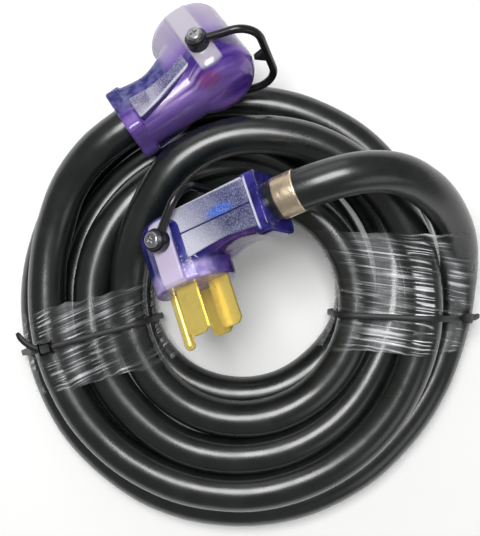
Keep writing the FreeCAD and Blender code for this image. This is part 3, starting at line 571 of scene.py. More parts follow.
def frosted_finish(end):
    """Etched silvery plastic with fine sparkle, a blue glow low in it, paler corners and painted highlight lines
    near its edges.
    """
    sockets = {"Specular_IOR_Level": 0.7, "Transmission_Weight": 0.12, "Coat_Weight": 0.3, "Coat_Roughness": 0.15}
    finish = EndFinish(f"{end.name}_frosted_panel", end, **sockets)
    along, across, out = finish.along, finish.across, finish.out
    grains = {"Vector": finish.point, "Scale": 2300.0}
    cells = finish.node("ShaderNodeTexVoronoi", {"feature": "F1"}, grains, output="Color")
    glint = finish.part(cells, "X").between(0.45, 1.0)
    clouds = finish.cloudy(finish.point, 70.0, 3.0, 0.5, 0.6).between(0.3, 0.7)
    if end is PLUG:
        back = finish.mixed(clouds, (0.05, 0.06, 0.19), (0.2, 0.21, 0.35))
        front = finish.mixed(clouds, (0.03, 0.035, 0.13), (0.13, 0.14, 0.27))
        pale = 1 - (along - out * 0.6).between(8, 38)
        glow = finish.near((37, 17, -3), (11, 12, 4.4))
        layers = [(out.between(-1, 1), front), (pale * 0.95, (0.72, 0.71, 0.84)), (glow * 0.9, (0.02, 0.13, 0.66))]
        # white: painted highlight lines along the panel's lower edge and its edge by the head
        white = (1 - out.between(-14.2, -13.4)) * 0.6 + (1 - along.between(9.3, 10.1)) * 0.5
    else:
        back = finish.mixed(clouds, (0.07, 0.06, 0.2), (0.24, 0.22, 0.38))
        pale = along.between(26, 46) * clouds.between(-0.4, 0.8)
        dark = 1 - abs(along - 22).between(4, 14)
        layers = [(pale * 0.8, (0.62, 0.6, 0.74)), (dark * 0.6, (0.05, 0.05, 0.22))]
        # white: a painted highlight line just inside the panel's lower edge
        white = (1 - abs(out + along * 0.27 + 1.7).between(0.4, 1.2)) * 0.75
    top = (abs(across) + along * 0.085).between(20.1, 20.9)
    face = finish.layered(back, *layers, (white, (0.88, 0.88, 0.96)), (glint * 0.22, (0.95, 0.95, 1.0)))
    return finish.shine(
        Base_Color=finish.mixed(top, (0.05, 0.03, 0.2), face),
        Roughness=0.26 + glint * 0.16,
        Metallic=glint * 0.12,
        Normal=finish.bumps(glint, 0.0002, 0.6),
    )


# ---------------------------------------------------------------- shapes


def show(name, data):
    """A new object with this data, in the scene."""
    made = bpy.data.objects.new(name, data)
    bpy.context.scene.collection.objects.link(made)
    return made


def from_bmesh(name, mesh):
    """A new object from a bmesh."""
    data = bpy.data.meshes.new(name)
    mesh.to_mesh(data)
    mesh.free()
    return show(name, data)


def discard(piece):
    """Remove a helper object and its mesh."""
    data = piece.data
    bpy.data.objects.remove(piece)
    bpy.data.meshes.remove(data)


def applied(piece, name):
    """A helper object with its modifiers applied, as a new object."""
    depsgraph = bpy.context.evaluated_depsgraph_get()
    data = bpy.data.meshes.new_from_object(piece.evaluated_get(depsgraph))
    data.name = name
    discard(piece)
    return show(name, data)


def circle(count):
    """The cosine and sine of angles evenly spaced round a circle."""
    angles = [2 * math.pi * index / count for index in range(count)]
    return [(math.cos(angle), math.sin(angle)) for angle in angles]


def route_line(resolution=10):
    """The cord's centre line: a smooth spline through the given points, as a list of its points."""
    control = [PLUG.place(JACKET_SEAT), PLUG.place(PLUG_AXIS_RUN)]
    control += [from_axis(*point) for point in LEAD_DOWN]
    control += [on_coil(*point) for point in TURNS]
    control += [from_axis(*point) for point in LEAD_UP]
    control += [CONNECTOR.place(CONNECTOR_AXIS_RUN), CONNECTOR.place(JACKET_SEAT)]
    curve = bpy.data.curves.new("cord_route", "CURVE")
    curve.dimensions = "3D"
    curve.resolution_u = resolution
    spline = curve.splines.new("NURBS")
    spline.points.add(len(control) - 1)
    for point, place in zip(spline.points, control):
        point.co = (*place, 1.0)
    spline.order_u = 3
    spline.use_endpoint_u = True
    carrier = show("cord_route", curve)
    line_mesh = bpy.data.meshes.new_from_object(carrier)
    line = [vertex.co.copy() for vertex in line_mesh.vertices]
    bpy.data.meshes.remove(line_mesh)
    bpy.data.objects.remove(carrier)
    bpy.data.curves.remove(curve)
    return line


def lengths_along(line):
    """The run from the start of a line to each of its points."""
    runs = [0.0]
    for before, after in zip(line, line[1:]):
        runs.append(runs[-1] + (after - before).length)
    return runs


def stretch_of(line, start, end):
    """The part of a line between two runs from its start."""
    runs = lengths_along(line)
    points = []
    for (run, point), (next_run, next_point) in zip(zip(runs, line), zip(runs[1:], line[1:])):
        for mark in (start, end):
            if run <= mark < next_run:
                points.append((mark, point.lerp(next_point, (mark - run) / (next_run - run))))
        if start < next_run < end:
            points.append((next_run, next_point))
    points.sort(key=lambda pair: pair[0])
    return [point for _, point in points]


def steady_frames(line):
    """A side direction and a second one at each point, carried along a line without twist."""
    tangents = []
    for index in range(len(line)):
        before = line[max(index - 1, 0)]
        after = line[min(index + 1, len(line) - 1)]
        tangents.append((after - before).normalized())
    side = tangents[0].cross(UP).normalized()
    frames = []
    for tangent in tangents:
        side = (side - tangent * side.dot(tangent)).normalized()
        frames.append((side, tangent.cross(side)))
    return frames


def loft(name, rings, closed_run=False, caps=False):
    """A skin over rings of points, mapped in metres round and along. It may close on itself, or get ends."""
    mesh = bmesh.new()
    layer = mesh.loops.layers.uv.new("run")
    rows = [[mesh.verts.new(point) for point in ring] for ring in rings]
    count = len(rings[0])
    rounds = lengths_along(rings[0] + rings[0][:1])
    ups = [0.0]
    for before, after in zip(rings, rings[1:] + rings[:1]):
        ups.append(ups[-1] + sum((a - b).length for a, b in zip(before, after)) / count)
    pairs = list(zip(rows, rows[1:]))
    if closed_run:
        pairs.append((rows[-1], rows[0]))
    for low, (row, next_row) in enumerate(pairs):
        for index in range(count):
            onward = (index + 1) % count
            face = mesh.faces.new((row[index], row[onward], next_row[onward], next_row[index]))
            face.smooth = True
            marks = ((index, low), (index + 1, low), (index + 1, low + 1), (index, low + 1))
            for loop, (a, b) in zip(face.loops, marks):
                loop[layer].uv = (rounds[a], ups[b])
    if caps:
        mesh.faces.new(rows[0][::-1])
        mesh.faces.new(rows[-1])
    bmesh.ops.recalc_face_normals(mesh, faces=mesh.faces)
    return from_bmesh(name, mesh)


def tube_rings(line, radius, sides, waviness, fineness):
    """Rings round a line, their skin waved by noise: how far in metres, and how many waves a metre."""
    rings = []
    for point, (side, other) in zip(line, steady_frames(line)):
        ring = []
        for c, s in circle(sides):
            direction = side * c + other * s
            swell = waviness * noise.noise((point + direction * radius) * fineness)
            ring.append(point + direction * (radius + swell))
        rings.append(ring)
    return rings


def hull(points):
    """The convex outline of flat points, anticlockwise."""
    points = sorted(set(points))

    def chain(run):
        kept = []
        for x, y in run:
            while len(kept) > 1:
                (ax, ay), (bx, by) = kept[-2:]
                if (bx - ax) * (y - ay) - (by - ay) * (x - ax) > 0:
                    break
                kept.pop()
            kept.append((x, y))
        return kept[:-1]

    return chain(points) + chain(points[::-1])


class Bundle:
    """The turns in one wrap: X outwards from the coil's axis, Y along the cord, Z up."""

    def __init__(self, side, cord_diameter):
        angle = math.radians(WRAP_AZIMUTH[side])
        self.out = Vector((math.cos(angle), math.sin(angle), 0))
        self.along = Vector((-math.sin(angle), math.cos(angle), 0))
        self.radius = cord_diameter / 2
        self.points = []
        for point in route_line(24):
            offset = point - COIL_AXIS
            if offset.dot(self.out) > 0 and offset.z < HELD_BELOW:
                self.points.append((offset.dot(self.out), offset.dot(self.along), offset.z))

    def discs(self, along):
        """The sections of the cord's turns in the level plane across this station, as centre and radius."""
        found = []
        for x, y, z in self.points:
            apart = abs(y - along)
            if apart < self.radius:
                found.append((x, z, math.sqrt(self.radius ** 2 - apart ** 2)))
        return found

    def outline(self, along, clearance, count):
        """A taut outline round the turns: even points and outward directions, from its lowest middle."""
        rim = []
        discs = self.discs(along)
        for x, z, radius in discs:
            reach = (radius + clearance) / math.cos(math.pi / DISC_SIDES)
            rim += [(x + reach * c, max(z + reach * s, clearance * 0.2)) for c, s in circle(DISC_SIDES)]
        outline = hull(rim)
        closed = outline + outline[:1]
        runs = [0.0]
        for (ax, az), (bx, bz) in zip(closed, closed[1:]):
            runs.append(runs[-1] + math.hypot(bx - ax, bz - az))
        middle = (min(x for x, _ in outline) + max(x for x, _ in outline)) / 2
        start = 0.0
        for index, ((ax, az), (bx, bz)) in enumerate(zip(closed, closed[1:])):
            if ax <= middle < bx and (az + bz) / 2 < discs[0][1] + 0.01:
                start = runs[index] + (middle - ax) / (bx - ax) * (runs[index + 1] - runs[index])
                break
        places = []
        for index in range(count):
            mark = (start + runs[-1] * index / count) % runs[-1]
            at = next(k for k in range(len(runs) - 1) if runs[k] <= mark <= runs[k + 1])
            share = (mark - runs[at]) / max(runs[at + 1] - runs[at], 1e-9)
            (ax, az), (bx, bz) = closed[at], closed[at + 1]
            places.append((ax + (bx - ax) * share, az + (bz - az) * share))
        found = []
        for index, place in enumerate(places):
            (ax, az), (cx, cz) = places[index - 1], places[(index + 1) % count]
            found.append((place, Vector((cz - az, ax - cx)).normalized()))
        return found

    def slack(self, place, along):
        """How far a point of the outline lies off the nearest turn of the cord."""
        x, z = place
        return min(math.hypot(x - cx, z - cz) - radius for cx, cz, radius in self.discs(along))

    def point(self, x, along, z):
        """A point of the model from the bundle's own frame."""
        return COIL_AXIS + self.out * x + self.along * along + UP * z


def film_wrap(name, bundle, start, end, seed, glint_at, stations=84, count=190):
    """A gathered sleeve of thin film round the turns, creased along its winding, with loose edges.

    Its attribute "touch" is 1 where it lies tight on a turn's crest, most at one radius, where it glints.
    Its attribute "loose" is 1 where it spans a hollow between turns.
    """
    outer, inner, painted_glint_spots, looses = [], [], [], []
    for index in range(stations):
        share = index / (stations - 1)
        station = start + (end - start) * share
        edge = 1 - smooth(0, 0.16, min(share, 1 - share))
        away = 1 if share > 0.5 else -1
        outer_ring, inner_ring = [], []
        for step, ((x, z), normal) in enumerate(bundle.outline(station, FILM_CLEARANCE, count)):
            turn = 2 * math.pi * step / count
            gap = bundle.slack((x, z), station)
            round_place = Vector((math.cos(turn) * 3.0, math.sin(turn) * 3.0, seed))
            crease = noise.fractal(round_place * 0.5 + Vector((0, 0, share * 26.0)), 0.8, 2.0, 4)
            ragged = noise.fractal(round_place * 1.1 + Vector((0, 0, away * 7.0)), 0.9, 2.0, 2)
            sink = min(gap * 0.3, 0.0022) * smooth(0.0012, 0.004, gap)
            lift = (max(crease, -0.3) * 0.0006 + 0.0003) * smooth(0.0, 0.008, z + 0.001)
            along = station + edge * (ragged * 0.0018 - 0.0005) * away
            # crest and weight place the film's painted glints: on tight crests, most near glint_at
            crest = smooth(0.9, 0.985, normal[1]) * (1 - smooth(0.0004, 0.0012, gap - FILM_CLEARANCE))
            weight = 0.25 + math.exp(-(((x - glint_at) / 0.011) ** 2))
            painted_glint_spots.append(min(crest * weight * (1 - edge * 0.7), 1.0))
            looses.append(smooth(0.0012, 0.007, gap))
            for ring, thickness in ((outer_ring, FILM_THICKNESS), (inner_ring, 0.0)):
                reach = lift - sink + thickness
                height = max(z + normal[1] * reach, 0.0001 + thickness)
                ring.append(bundle.point(x + normal[0] * reach, along, height))
        outer.append(outer_ring)
        inner.append(inner_ring)
    piece = loft(name, outer + inner[::-1], closed_run=True)
    marks = piece.data.uv_layers["run"].data
    far = max(mark.uv.y for mark in marks)
    for mark in marks:
        mark.uv.y = min(mark.uv.y, far - mark.uv.y)
    for key, values in (("touch", painted_glint_spots), ("loose", looses)):
        rows = [values[index * count:(index + 1) * count] for index in range(stations)]
        attribute = piece.data.attributes.new(key, "FLOAT", "POINT")
        attribute.data.foreach_set("value", [value for row in rows + rows[::-1] for value in row])
    return piece


def strap_ring(bundle, along, width, thickness, count=150):
    """The closed band of a cable tie round the turns and their film."""
    half, soft = width / 2, thickness * 0.3
    profile = [
        (-half, soft), (-half + soft, 0), (half - soft, 0), (half, soft),
        (half, thickness - soft), (half - soft, thickness), (-half + soft, thickness), (-half, thickness - soft),
    ]
    rings = []
    for (x, z), normal in bundle.outline(along, TIE_CLEARANCE, count):
        ring = []
        for across, up in profile:
            ring.append(bundle.point(x + normal[0] * up, along + across, max(z + normal[1] * up, 0.0002)))
        rings.append(ring)
    return loft("tie_band", rings, closed_run=True)


def merged(name, pieces):
    """Several meshes as one piece."""
    mesh = bmesh.new()
    for piece in pieces:
        mesh.from_mesh(piece.data)
        discard(piece)
    return from_bmesh(name, mesh)


def rounded_block(name, centre, axes, size, edge):
    """A block with rounded edges, along three directions."""
    mesh = bmesh.new()
    layer = mesh.loops.layers.uv.new("run")
    bmesh.ops.create_cube(mesh, size=1.0)
    for vertex in mesh.verts:
        x, y, z = (part * length for part, length in zip(vertex.co, size))
        vertex.co = centre + axes[0] * x + axes[1] * y + axes[2] * z
    bmesh.ops.bevel(mesh, geom=mesh.edges[:], offset=edge, segments=3, profile=0.5, affect="EDGES")
    bmesh.ops.recalc_face_normals(mesh, faces=mesh.faces)
    for face in mesh.faces:
        face.smooth = True
        for loop in face.loops:
            loop[layer].uv = (loop.vert.co.x, loop.vert.co.y)
    return from_bmesh(name, mesh)


def ratchet_group():
    """A node group that sets teeth in a row along X, and its inputs' identifiers by name."""
    group = bpy.data.node_groups.new("ratchet_teeth", "GeometryNodeTree")
    group.interface.new_socket("Teeth", in_out="OUTPUT", socket_type="NodeSocketGeometry")
    keys = {}
    for name, kind in (("Count", "Int"), ("Pitch", "Float"), ("Size", "Vector"), ("Material", "Material")):
        keys[name] = group.interface.new_socket(name, in_out="INPUT", socket_type="NodeSocket" + kind).identifier
    given, step, row, tooth, spread, real, coat, taken = (
        group.nodes.new(kind)
        for kind in (
            "NodeGroupInput", "ShaderNodeCombineXYZ", "GeometryNodeMeshLine", "GeometryNodeMeshCube",
            "GeometryNodeInstanceOnPoints", "GeometryNodeRealizeInstances", "GeometryNodeSetMaterial",
            "NodeGroupOutput",
        )
    )
    for source, target in (
        (given.outputs["Pitch"], step.inputs["X"]),
        (given.outputs["Count"], row.inputs["Count"]),
        (step.outputs[0], row.inputs["Offset"]),
        (given.outputs["Size"], tooth.inputs["Size"]),
        (row.outputs[0], spread.inputs["Points"]),
        (tooth.outputs["Mesh"], spread.inputs["Instance"]),
        (spread.outputs[0], real.inputs[0]),
        (real.outputs[0], coat.inputs["Geometry"]),
        (given.outputs["Material"], coat.inputs["Material"]),
        (coat.outputs[0], taken.inputs[0]),
    ):
        group.links.new(source, target)
    return group, keys


def ratchet_teeth(group, keys, finish, count, size, place):
    """A tie tail's row of teeth as a plain mesh, set by a function from run, side and lift to a point."""
    holder = show("teeth", bpy.data.meshes.new("teeth"))
    modifier = holder.modifiers.new("teeth", "NODES")
    modifier.node_group = group
    for name, value in (("Count", count), ("Pitch", TOOTH_PITCH), ("Size", size), ("Material", finish.material)):
        modifier[keys[name]] = value
    teeth = applied(holder, "teeth")
    for vertex in teeth.data.vertices:
        x, y, z = vertex.co
        vertex.co = place(x + 1.5 * TOOTH_PITCH, y, z - TOOTH_SIZE)
    return teeth


def cable_tie(side, settings, finish, tree, along, head_at, tail, start, lean):
    """A tie as one piece: its band, its head, and its tail with teeth, which leaves at one angle and bends."""
    width, thickness = settings.tie_width, settings.tie_thickness
    bundle = Bundle(side, settings.cord_diameter)
    band = strap_ring(bundle, along, width, thickness)
    spots = [spot for spot in bundle.outline(along, TIE_CLEARANCE, 300) if abs(spot[0][0] - head_at) < 0.004]
    (x, z), normal = max(spots, key=lambda spot: spot[0][1])
    up = (bundle.out * normal[0] + UP * normal[1]).normalized()
    outwards = (bundle.out * normal[1] - UP * normal[0]).normalized()
    centre = bundle.point(x, along, z) + up * (thickness + TIE_HEAD_LIFT)
    head = rounded_block("head", centre, (outwards, bundle.along, up), TIE_HEAD, TIE_HEAD_EDGE)

    def on_tail(run, across, lift):
        """A point of the tail, which lies on an arc."""
        angle = start + lean * run / tail
        x = TAIL_ROOT + tail / lean * (math.sin(angle) - math.sin(start)) - across * math.sin(angle)
        y = tail / lean * (math.cos(start) - math.cos(angle)) + across * math.cos(angle)
        return centre + outwards * x + bundle.along * y + up * lift

    half = width / 2 - 0.0001
    outline = [(-half, -TAIL_HALF), (half, -TAIL_HALF), (half, TAIL_HALF), (-half, TAIL_HALF)]
    rings = []
    for step in range(TAIL_STEPS + 1):
        thin = 1 - 0.4 * smooth(TAIL_STEPS - 2, TAIL_STEPS, step)
        rings.append([on_tail(tail * step / TAIL_STEPS, across * thin, lift * thin) for across, lift in outline])
    strip = loft("tail", rings, caps=True)
    size = (TOOTH_SIZE, width - 0.0009, TOOTH_SIZE)
    teeth = ratchet_teeth(*tree, finish, int((tail - 0.002) / TOOTH_PITCH), size, on_tail)
    return merged(f"{side}_tie", [band, head, strip, teeth])


def through(stations, steps=5):
    """Rows of numbers carried smoothly through the given rows."""
    rows = []
    for index in range(len(stations) - 1):
        before = stations[max(index - 1, 0)]
        start, end = stations[index], stations[index + 1]
        after = stations[min(index + 2, len(stations) - 1)]
        for step in range(steps):
            t = step / steps
            row = []
            for a, b, c, d in zip(before, start, end, after):
                row.append(b + 0.5 * t * (c - a + t * (2 * a - 5 * b + 4 * c - d + t * (3 * (b - c) + d - a))))
            rows.append(row)
    return rows + [list(stations[-1])]


def section(end, along, half_width, back, front, back_power, front_power, count=96):
    """A ring round an end's neck: a soft rectangle, rounder at its back."""
    middle, half = (back + front) / 2, (front - back) / 2
    ring = []
    for c, s in circle(count):
        power = 2 / (front_power if s > 0 else back_power)
        across = half_width * math.copysign(abs(c) ** power, c)
        out = middle + half * math.copysign(abs(s) ** power, s)
        ring.append(end.place(along, across, out))
    return ring


def lathed(end, profile):
    """A turned form round an end's contact axis, from radii and levels."""
    rings = [[end.place(radius * c, radius * s, out) for c, s in circle(128)] for radius, out in profile]
    return loft("lathed", rings, caps=True)


def arc(centre, radius, start, stop, count=8):
    """Points of an arc, in degrees."""
    angles = [math.radians(start + (stop - start) * index / count) for index in range(count + 1)]
    return [(centre[0] + radius * math.cos(angle), centre[1] + radius * math.sin(angle)) for angle in angles]


def plate(end, outline, low, high, edge, side):
    """A raised plate on one side of an end: its outline along and out, its root and top across, its soft edge."""
    count = len(outline)
    shrunk = []
    for index, (x, z) in enumerate(outline):
        ax, az = outline[index - 1]
        bx, bz = outline[(index + 1) % count]
        length = math.hypot(bx - ax, bz - az)
        shrunk.append((x - (bz - az) / length * edge, z + (bx - ax) / length * edge))
    rings = []
    for shape, level, drop in ((outline, low, 0), (outline, high, edge), (shrunk, high, 0)):
        rings.append([end.place(x, side * (level(x) - drop), z) for x, z in shape])
    return loft("plate", rings, caps=True)


def soft_corners(corners, radius, steps=5):
    """An outline with rounded corners, anticlockwise."""
    rounded = []
    count = len(corners)
    for index, corner in enumerate(corners):
        here = Vector(corner)
        before = (Vector(corners[index - 1]) - here).normalized() * radius
        after = (Vector(corners[(index + 1) % count]) - here).normalized() * radius
        for step in range(steps + 1):
            t = step / steps
            point = here + before * (1 - t) ** 2 + after * t ** 2
            rounded.append((point.x, point.y))
    return rounded


def soft_union(name, pieces):
    """Overlapping closed forms as one moulded form with soft edges."""
    joined = merged(name + "_rough", pieces)
    remesh = joined.modifiers.new("union", "REMESH")
    remesh.mode = "VOXEL"
    remesh.voxel_size = SHELL_GRAIN
    soften = joined.modifiers.new("soft edges", "SMOOTH")
    soften.factor = 0.5
    soften.iterations = SHELL_SMOOTHING
    piece = applied(joined, name)
    for face in piece.data.polygons:
        face.use_smooth = True
    return piece


def moulded_shell(end, face, back, neck, mouth=()):
    """An end's moulded body: its head with a face, a back and perhaps a mouth, its neck, collar and screw pads."""
    profile = [(0.5, -back)] + arc((HEAD_RADIUS - BACK_ROUND, BACK_ROUND - back), BACK_ROUND, -90, 0)
    profile += arc((HEAD_RADIUS - FACE_ROUND, face - FACE_ROUND), FACE_ROUND, 0, 90, 3)
    if mouth:
        radius, floor = mouth
        profile += [(radius, face - 0.4), (radius, floor), (0.5, floor)]
    else:
        profile += [(0.5, face)]
    rings = [section(end, *row, BACK_POWER, FRONT_POWER) for row in through(neck)]
    collar = [section(end, *row, COLLAR_POWER, COLLAR_POWER) for row in COLLAR]
    forms = [lathed(end, profile), loft("neck", rings, caps=True), loft("collar", collar, caps=True)]
    outline = arc((0, 0), PAD_HALF, 180, 360, 16) + [(PAD_HALF, face - 1.5), (-PAD_HALF, face - 1.5)]
    for side in (-1, 1):
        forms.append(plate(end, outline, lambda x: PAD_ROOT, lambda x: PAD_REACH, 0.5, side))
    return soft_union(f"{end.name}_moulding", forms)


def side_panels(end, outlines):
    """The frosted plates on both sides of an end's neck, which narrow with it."""
    plates = []
    for side in (-1, 1):
        for outline in outlines:
            rounded = soft_corners(outline, PANEL_CORNER)
            plates.append(
                plate(end, rounded, lambda x: 15.0 - 0.09 * x, lambda x: 21.5 - 0.085 * x, PANEL_EDGE, side)
            )
    piece = merged(f"{end.name}_side_panels", plates)
    for face in piece.data.polygons:
        face.use_smooth = False
    return piece


def put_on(piece, finish, slot, *nodes):
    """Give a piece on the cord set its finish, hide the CAD nodes that it stands for, and attach it to the cord
    set. Its slot is not used.
    """
    piece.data.materials.clear()
    piece.data.materials.append(finish.material)
    if nodes:
        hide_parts(*nodes)
    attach(piece, "cord_set")
    return piece


# ---------------------------------------------------------------- settings


class ShoreCordSettings(bpy.types.PropertyGroup):
    """Sizes and colours that a user would change."""

    cord_diameter: FloatProperty(
        name="Cord diameter", description="Outside diameter of the jacket", default=0.0229, unit="LENGTH"
    )
    cord_sides: IntProperty(name="Cord sides", description="Faces round the jacket", default=40, min=12)
    jacket_colour: FloatVectorProperty(
        name="Jacket", description="Colour of the jacket", default=(0.006, 0.0083, 0.0072), subtype="COLOR"
    )
    film_colour: FloatVectorProperty(
        name="Film", description="Colour of the film's creases", default=(0.86, 0.88, 0.9), subtype="COLOR"
    )
    tie_width: FloatProperty(
        name="Tie width", description="Width of a cable tie's band", default=0.0036, unit="LENGTH"
    )
    tie_thickness: FloatProperty(
        name="Tie thickness", description="Thickness of a cable tie's band", default=0.0013, unit="LENGTH"
    )
    brass_colour: FloatVectorProperty(
        name="Brass", description="Colour of the contacts", default=(1.0, 0.78, 0.2), subtype="COLOR"
    )
    lamp_level: FloatProperty(name="Light", description="Level of the studio lights", default=1.0, min=0.0)


class ShoreCordOperator:
    """What every operator of this file shares."""

    bl_options = {"REGISTER", "UNDO"}


class MakeCord(ShoreCordOperator, bpy.types.Operator):
    """Lay the jacketed cord from the plug through the coil to the connector"""

    bl_idname = "shore_cord.cord"
    bl_label = "Cord"

    def execute(self, context):
        settings = context.scene.shore_cord
        rings = tube_rings(route_line(), settings.cord_diameter / 2, settings.cord_sides, *JACKET_WAVES)
        piece = loft("jacketed_cord", rings, caps=True)
        finish = jacket_finish(tuple(settings.jacket_colour))
        put_on(piece, finish, "cord_jacket", "plug_lead", "cord_coil", "connector_lead")
        return {"FINISHED"}


class MakeFilm(ShoreCordOperator, bpy.types.Operator):
    """Wrap the clear stretch film round the turns, left and right"""

    bl_idname = "shore_cord.film"
    bl_label = "Film wraps"

    def execute(self, context):
        settings = context.scene.shore_cord
        for side, start, end, seed, glint_at, slope in (
            ("left", -0.026, 0.025, 3.1, 0.118, 0.16),
            ("right", -0.028, 0.044, 8.7, 0.110, -0.1),
        ):
            finish = film_finish(side, tuple(settings.film_colour), slope)
            bundle = Bundle(side, settings.cord_diameter)
            piece = film_wrap(f"{side}_film", bundle, start, end, seed, glint_at)
            put_on(piece, finish, "stretch_film", f"{side}_film_wrap")
        return {"FINISHED"}


class MakeTies(ShoreCordOperator, bpy.types.Operator):
    """Pull a cable tie round each film wrap"""

    bl_idname = "shore_cord.ties"
    bl_label = "Cable ties"

    def execute(self, context):
        finish = nylon_finish((0.012, 0.012, 0.013))
        tree = ratchet_group()
        for side, along, head_at, tail, start, lean in (
            ("left", -0.003, 0.122, 0.0185, -0.35, -1.0),
            ("right", -0.006, 0.141, 0.0145, 0.02, 0.15),
        ):
            piece = cable_tie(side, context.scene.shore_cord, finish, tree, along, head_at, tail, start, lean)
            put_on(piece, finish, "tie_nylon", f"{side}_cable_tie")
        return {"FINISHED"}


class MakeFoil(ShoreCordOperator, bpy.types.Operator):
    """Put the bare foil band on the cord beside the plug"""

    bl_idname = "shore_cord.foil"
    bl_label = "Foil band"

    def execute(self, context):
        start = (COLLAR_FACE - JACKET_SEAT) * MM + FOIL_GAP
        stretch = stretch_of(route_line(40), start, start + FOIL_LENGTH)
        inner = context.scene.shore_cord.cord_diameter / 2 + FOIL_THICKNESS
        outside, inside = (
            tube_rings(stretch, radius, 64, *FOIL_CRINKLES) for radius in (inner + FOIL_THICKNESS, inner)
        )
        piece = loft("foil_sleeve", outside + inside[::-1], closed_run=True)
        put_on(piece, foil_finish((0.95, 0.78, 0.55)), "foil", "foil_band")
        return {"FINISHED"}


class MakeShells(ShoreCordOperator, bpy.types.Operator):
    """Mould the tinted bodies of the plug and the connector, with their frosted side panels"""

    bl_idname = "shore_cord.shells"
    bl_label = "Moulded bodies"

    def execute(self, context):
        plug = moulded_shell(PLUG, face=26.0, back=17.0, neck=PLUG_NECK)
        put_on(plug, plug_tint(), "plug_body", "plug_shell")
        put_on(side_panels(PLUG, PLUG_PANELS), frosted_finish(PLUG), "plug_body")
        connector = moulded_shell(CONNECTOR, face=34.0, back=19.0, neck=CONNECTOR_NECK, mouth=(21.8, 5.2))
        put_on(connector, connector_tint(), "connector_body", "connector_shell")
        panels = side_panels(CONNECTOR, CONNECTOR_PANELS)
        put_on(panels, frosted_finish(CONNECTOR), "connector_body")
        return {"FINISHED"}


class DressEnds(ShoreCordOperator, bpy.types.Operator):
    """Give the plug, the connector and what they hold their finishes"""

    bl_idname = "shore_cord.ends"
    bl_label = "Plug and connector"

    def execute(self, context):
        colour = tuple(context.scene.shore_cord.brass_colour)
        brass = metal_finish("contact_brass", colour, 0.24, brush=(420.0, 420.0, 60.0), shade=0.88, metallic=0.6)
        even_brush = (700.0, 700.0, 700.0)
        by_last_word = {
            "screws": metal_finish("screw_steel", (0.42, 0.42, 0.43), 0.2, even_brush),
            "washers": metal_finish("washer_steel", (0.1, 0.1, 0.105), 0.3, even_brush),
            "barrels": metal_finish("tinned_barrel", (0.72, 0.72, 0.72), 0.3),
            "core": plastic_finish("carrier", (0.12, 0.1, 0.26), 0.4),
            "bail": plastic_finish("bail_plastic", (0.008, 0.008, 0.009), 0.16, 1.4),
            "lamp": plastic_finish("lamp_lens", (0.85, 0.88, 0.95), 0.1, 1.1, Transmission_Weight=0.5),
            "red": plastic_finish("wire_red", (0.5, 0.03, 0.03), 0.35),
            "black": plastic_finish("wire_black", (0.02, 0.02, 0.02), 0.35),
            "white": plastic_finish("wire_white", (0.8, 0.8, 0.78), 0.35),
            "green": plastic_finish("wire_green", (0.03, 0.3, 0.08), 0.35),
        }
        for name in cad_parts:
            words = name.split("_")
            if words[0] in ("plug", "connector") and words[-1] not in ("lead", "shell"):
                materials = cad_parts[name].data.materials
                materials.clear()
                materials.append(by_last_word.get(words[-1], brass).material)
        return {"FINISHED"}


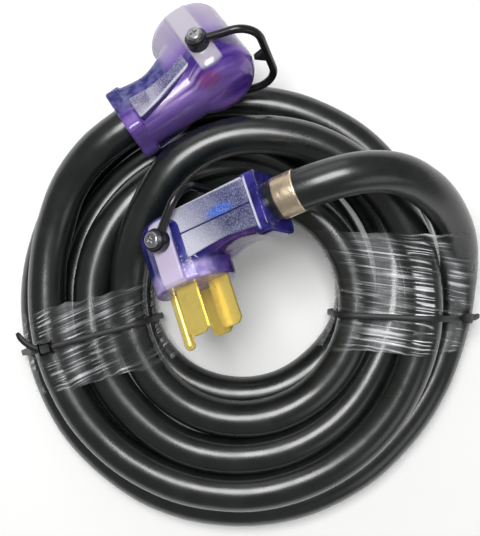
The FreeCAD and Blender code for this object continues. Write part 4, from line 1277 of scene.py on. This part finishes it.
class SetStage(ShoreCordOperator, bpy.types.Operator):
    """Set the floor, the lights and the camera"""

    bl_idname = "shore_cord.stage"
    bl_label = "Stage"

    def execute(self, context):
        settings = context.scene.shore_cord
        scene = context.scene
        scene.view_settings.view_transform = "Standard"
        floor_mesh = bpy.data.meshes.new("floor")
        corners = [(x * FLOOR_REACH, y * FLOOR_REACH, 0) for x, y in ((-1, -1), (1, -1), (1, 1), (-1, 1))]
        floor_mesh.from_pydata(corners, [], [(0, 1, 2, 3)])
        floor = show("floor", floor_mesh)
        pale = Finish("pale_floor", Roughness=0.6, Specular_IOR_Level=0.2)
        paper = pale.cloudy(pale.place(), 30.0, 4.0)
        unseen = 1
        for kind in ("Camera", "Glossy", "Transmission"):
            unseen = unseen * (1 - pale.node("ShaderNodeLightPath", output=f"Is {kind} Ray"))
        bright = pale.mixed(paper, (0.95, 0.95, 0.94), (0.97, 0.97, 0.965))
        pale.shine(
            Base_Color=pale.mixed(unseen, bright, (0.5, 0.5, 0.49)),
            Emission_Color=pale.mixed(unseen, (0.1, 0.1, 0.1), (0.0, 0.0, 0.0)),
            Emission_Strength=1.0,
        )
        floor_mesh.materials.append(pale.material)
        world = bpy.data.worlds.new("studio")
        scene.world = world
        world.use_nodes = True
        background = world.node_tree.nodes["Background"]
        background.inputs["Color"].default_value = (1.0, 1.0, 1.0, 1.0)
        background.inputs["Strength"].default_value = SKY_LEVEL * settings.lamp_level
        for name, place, aim, size, power in (
            ("overhead_light", (-0.12, 0.26, 1.15), (0, 0, 0), 0.52, 11.0),
            ("window_light", (-0.4, 1.3, 0.7), (0, 0, 0.05), 0.9, 2.6),
            ("fill_light", (0.9, -0.9, 0.8), (0, 0, 0), 0.7, 1.5),
        ):
            lamp = bpy.data.lights.new(name, "AREA")
            lamp.size = size
            lamp.energy = power * settings.lamp_level
            holder = show(name, lamp)
            holder.location = place
            holder.rotation_euler = (Vector(aim) - Vector(place)).to_track_quat("-Z", "Y").to_euler()
        camera_data = bpy.data.cameras.new("camera")
        camera_data.sensor_fit = "VERTICAL"
        camera_data.sensor_height = 36.0
        camera_data.lens = CAMERA_LENS
        camera_data.clip_end = 20.0
        camera = show("camera", camera_data)
        camera.location = CAMERA_PLACE
        scene.camera = camera
        return {"FINISHED"}


class DeclareCord(ShoreCordOperator, bpy.types.Operator):
    """Work out the plug's collar face and the cord's route as points, and keep neither"""

    bl_idname = "shore_cord.declare"
    bl_label = "Cord's facts"

    def execute(self, context):
        PLUG.place(COLLAR_FACE)
        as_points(route_line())
        return {"FINISHED"}


STEPS = (SetStage, MakeCord, MakeFilm, MakeTies, MakeFoil, MakeShells, DressEnds, DeclareCord)


class ShoreCordPanel(bpy.types.Panel):
    """The buttons that build the cord set"""

    bl_idname = "VIEW3D_PT_shore_cord"
    bl_label = "Shore Cord"
    bl_space_type = "VIEW_3D"
    bl_region_type = "UI"
    bl_category = "Shore Cord"

    def draw(self, context):
        settings = context.scene.shore_cord
        for name in settings.bl_rna.properties.keys():
            if name not in ("rna_type", "name"):
                self.layout.prop(settings, name)
        for step in STEPS:
            self.layout.operator(step.bl_idname)


CLASSES = (ShoreCordSettings, *STEPS, ShoreCordPanel)


def register():
    """Register this file's classes and its settings."""
    for kind in CLASSES:
        bpy.utils.register_class(kind)
    bpy.types.Scene.shore_cord = PointerProperty(type=ShoreCordSettings)


def unregister():
    """Take them out again."""
    del bpy.types.Scene.shore_cord
    for kind in reversed(CLASSES):
        bpy.utils.unregister_class(kind)


def main():
    """Build every piece in order."""
    register()
    for step in STEPS:
        group, name = step.bl_idname.split(".")
        getattr(getattr(bpy.ops, group), name)()


if __name__ == "__main__":
    main()
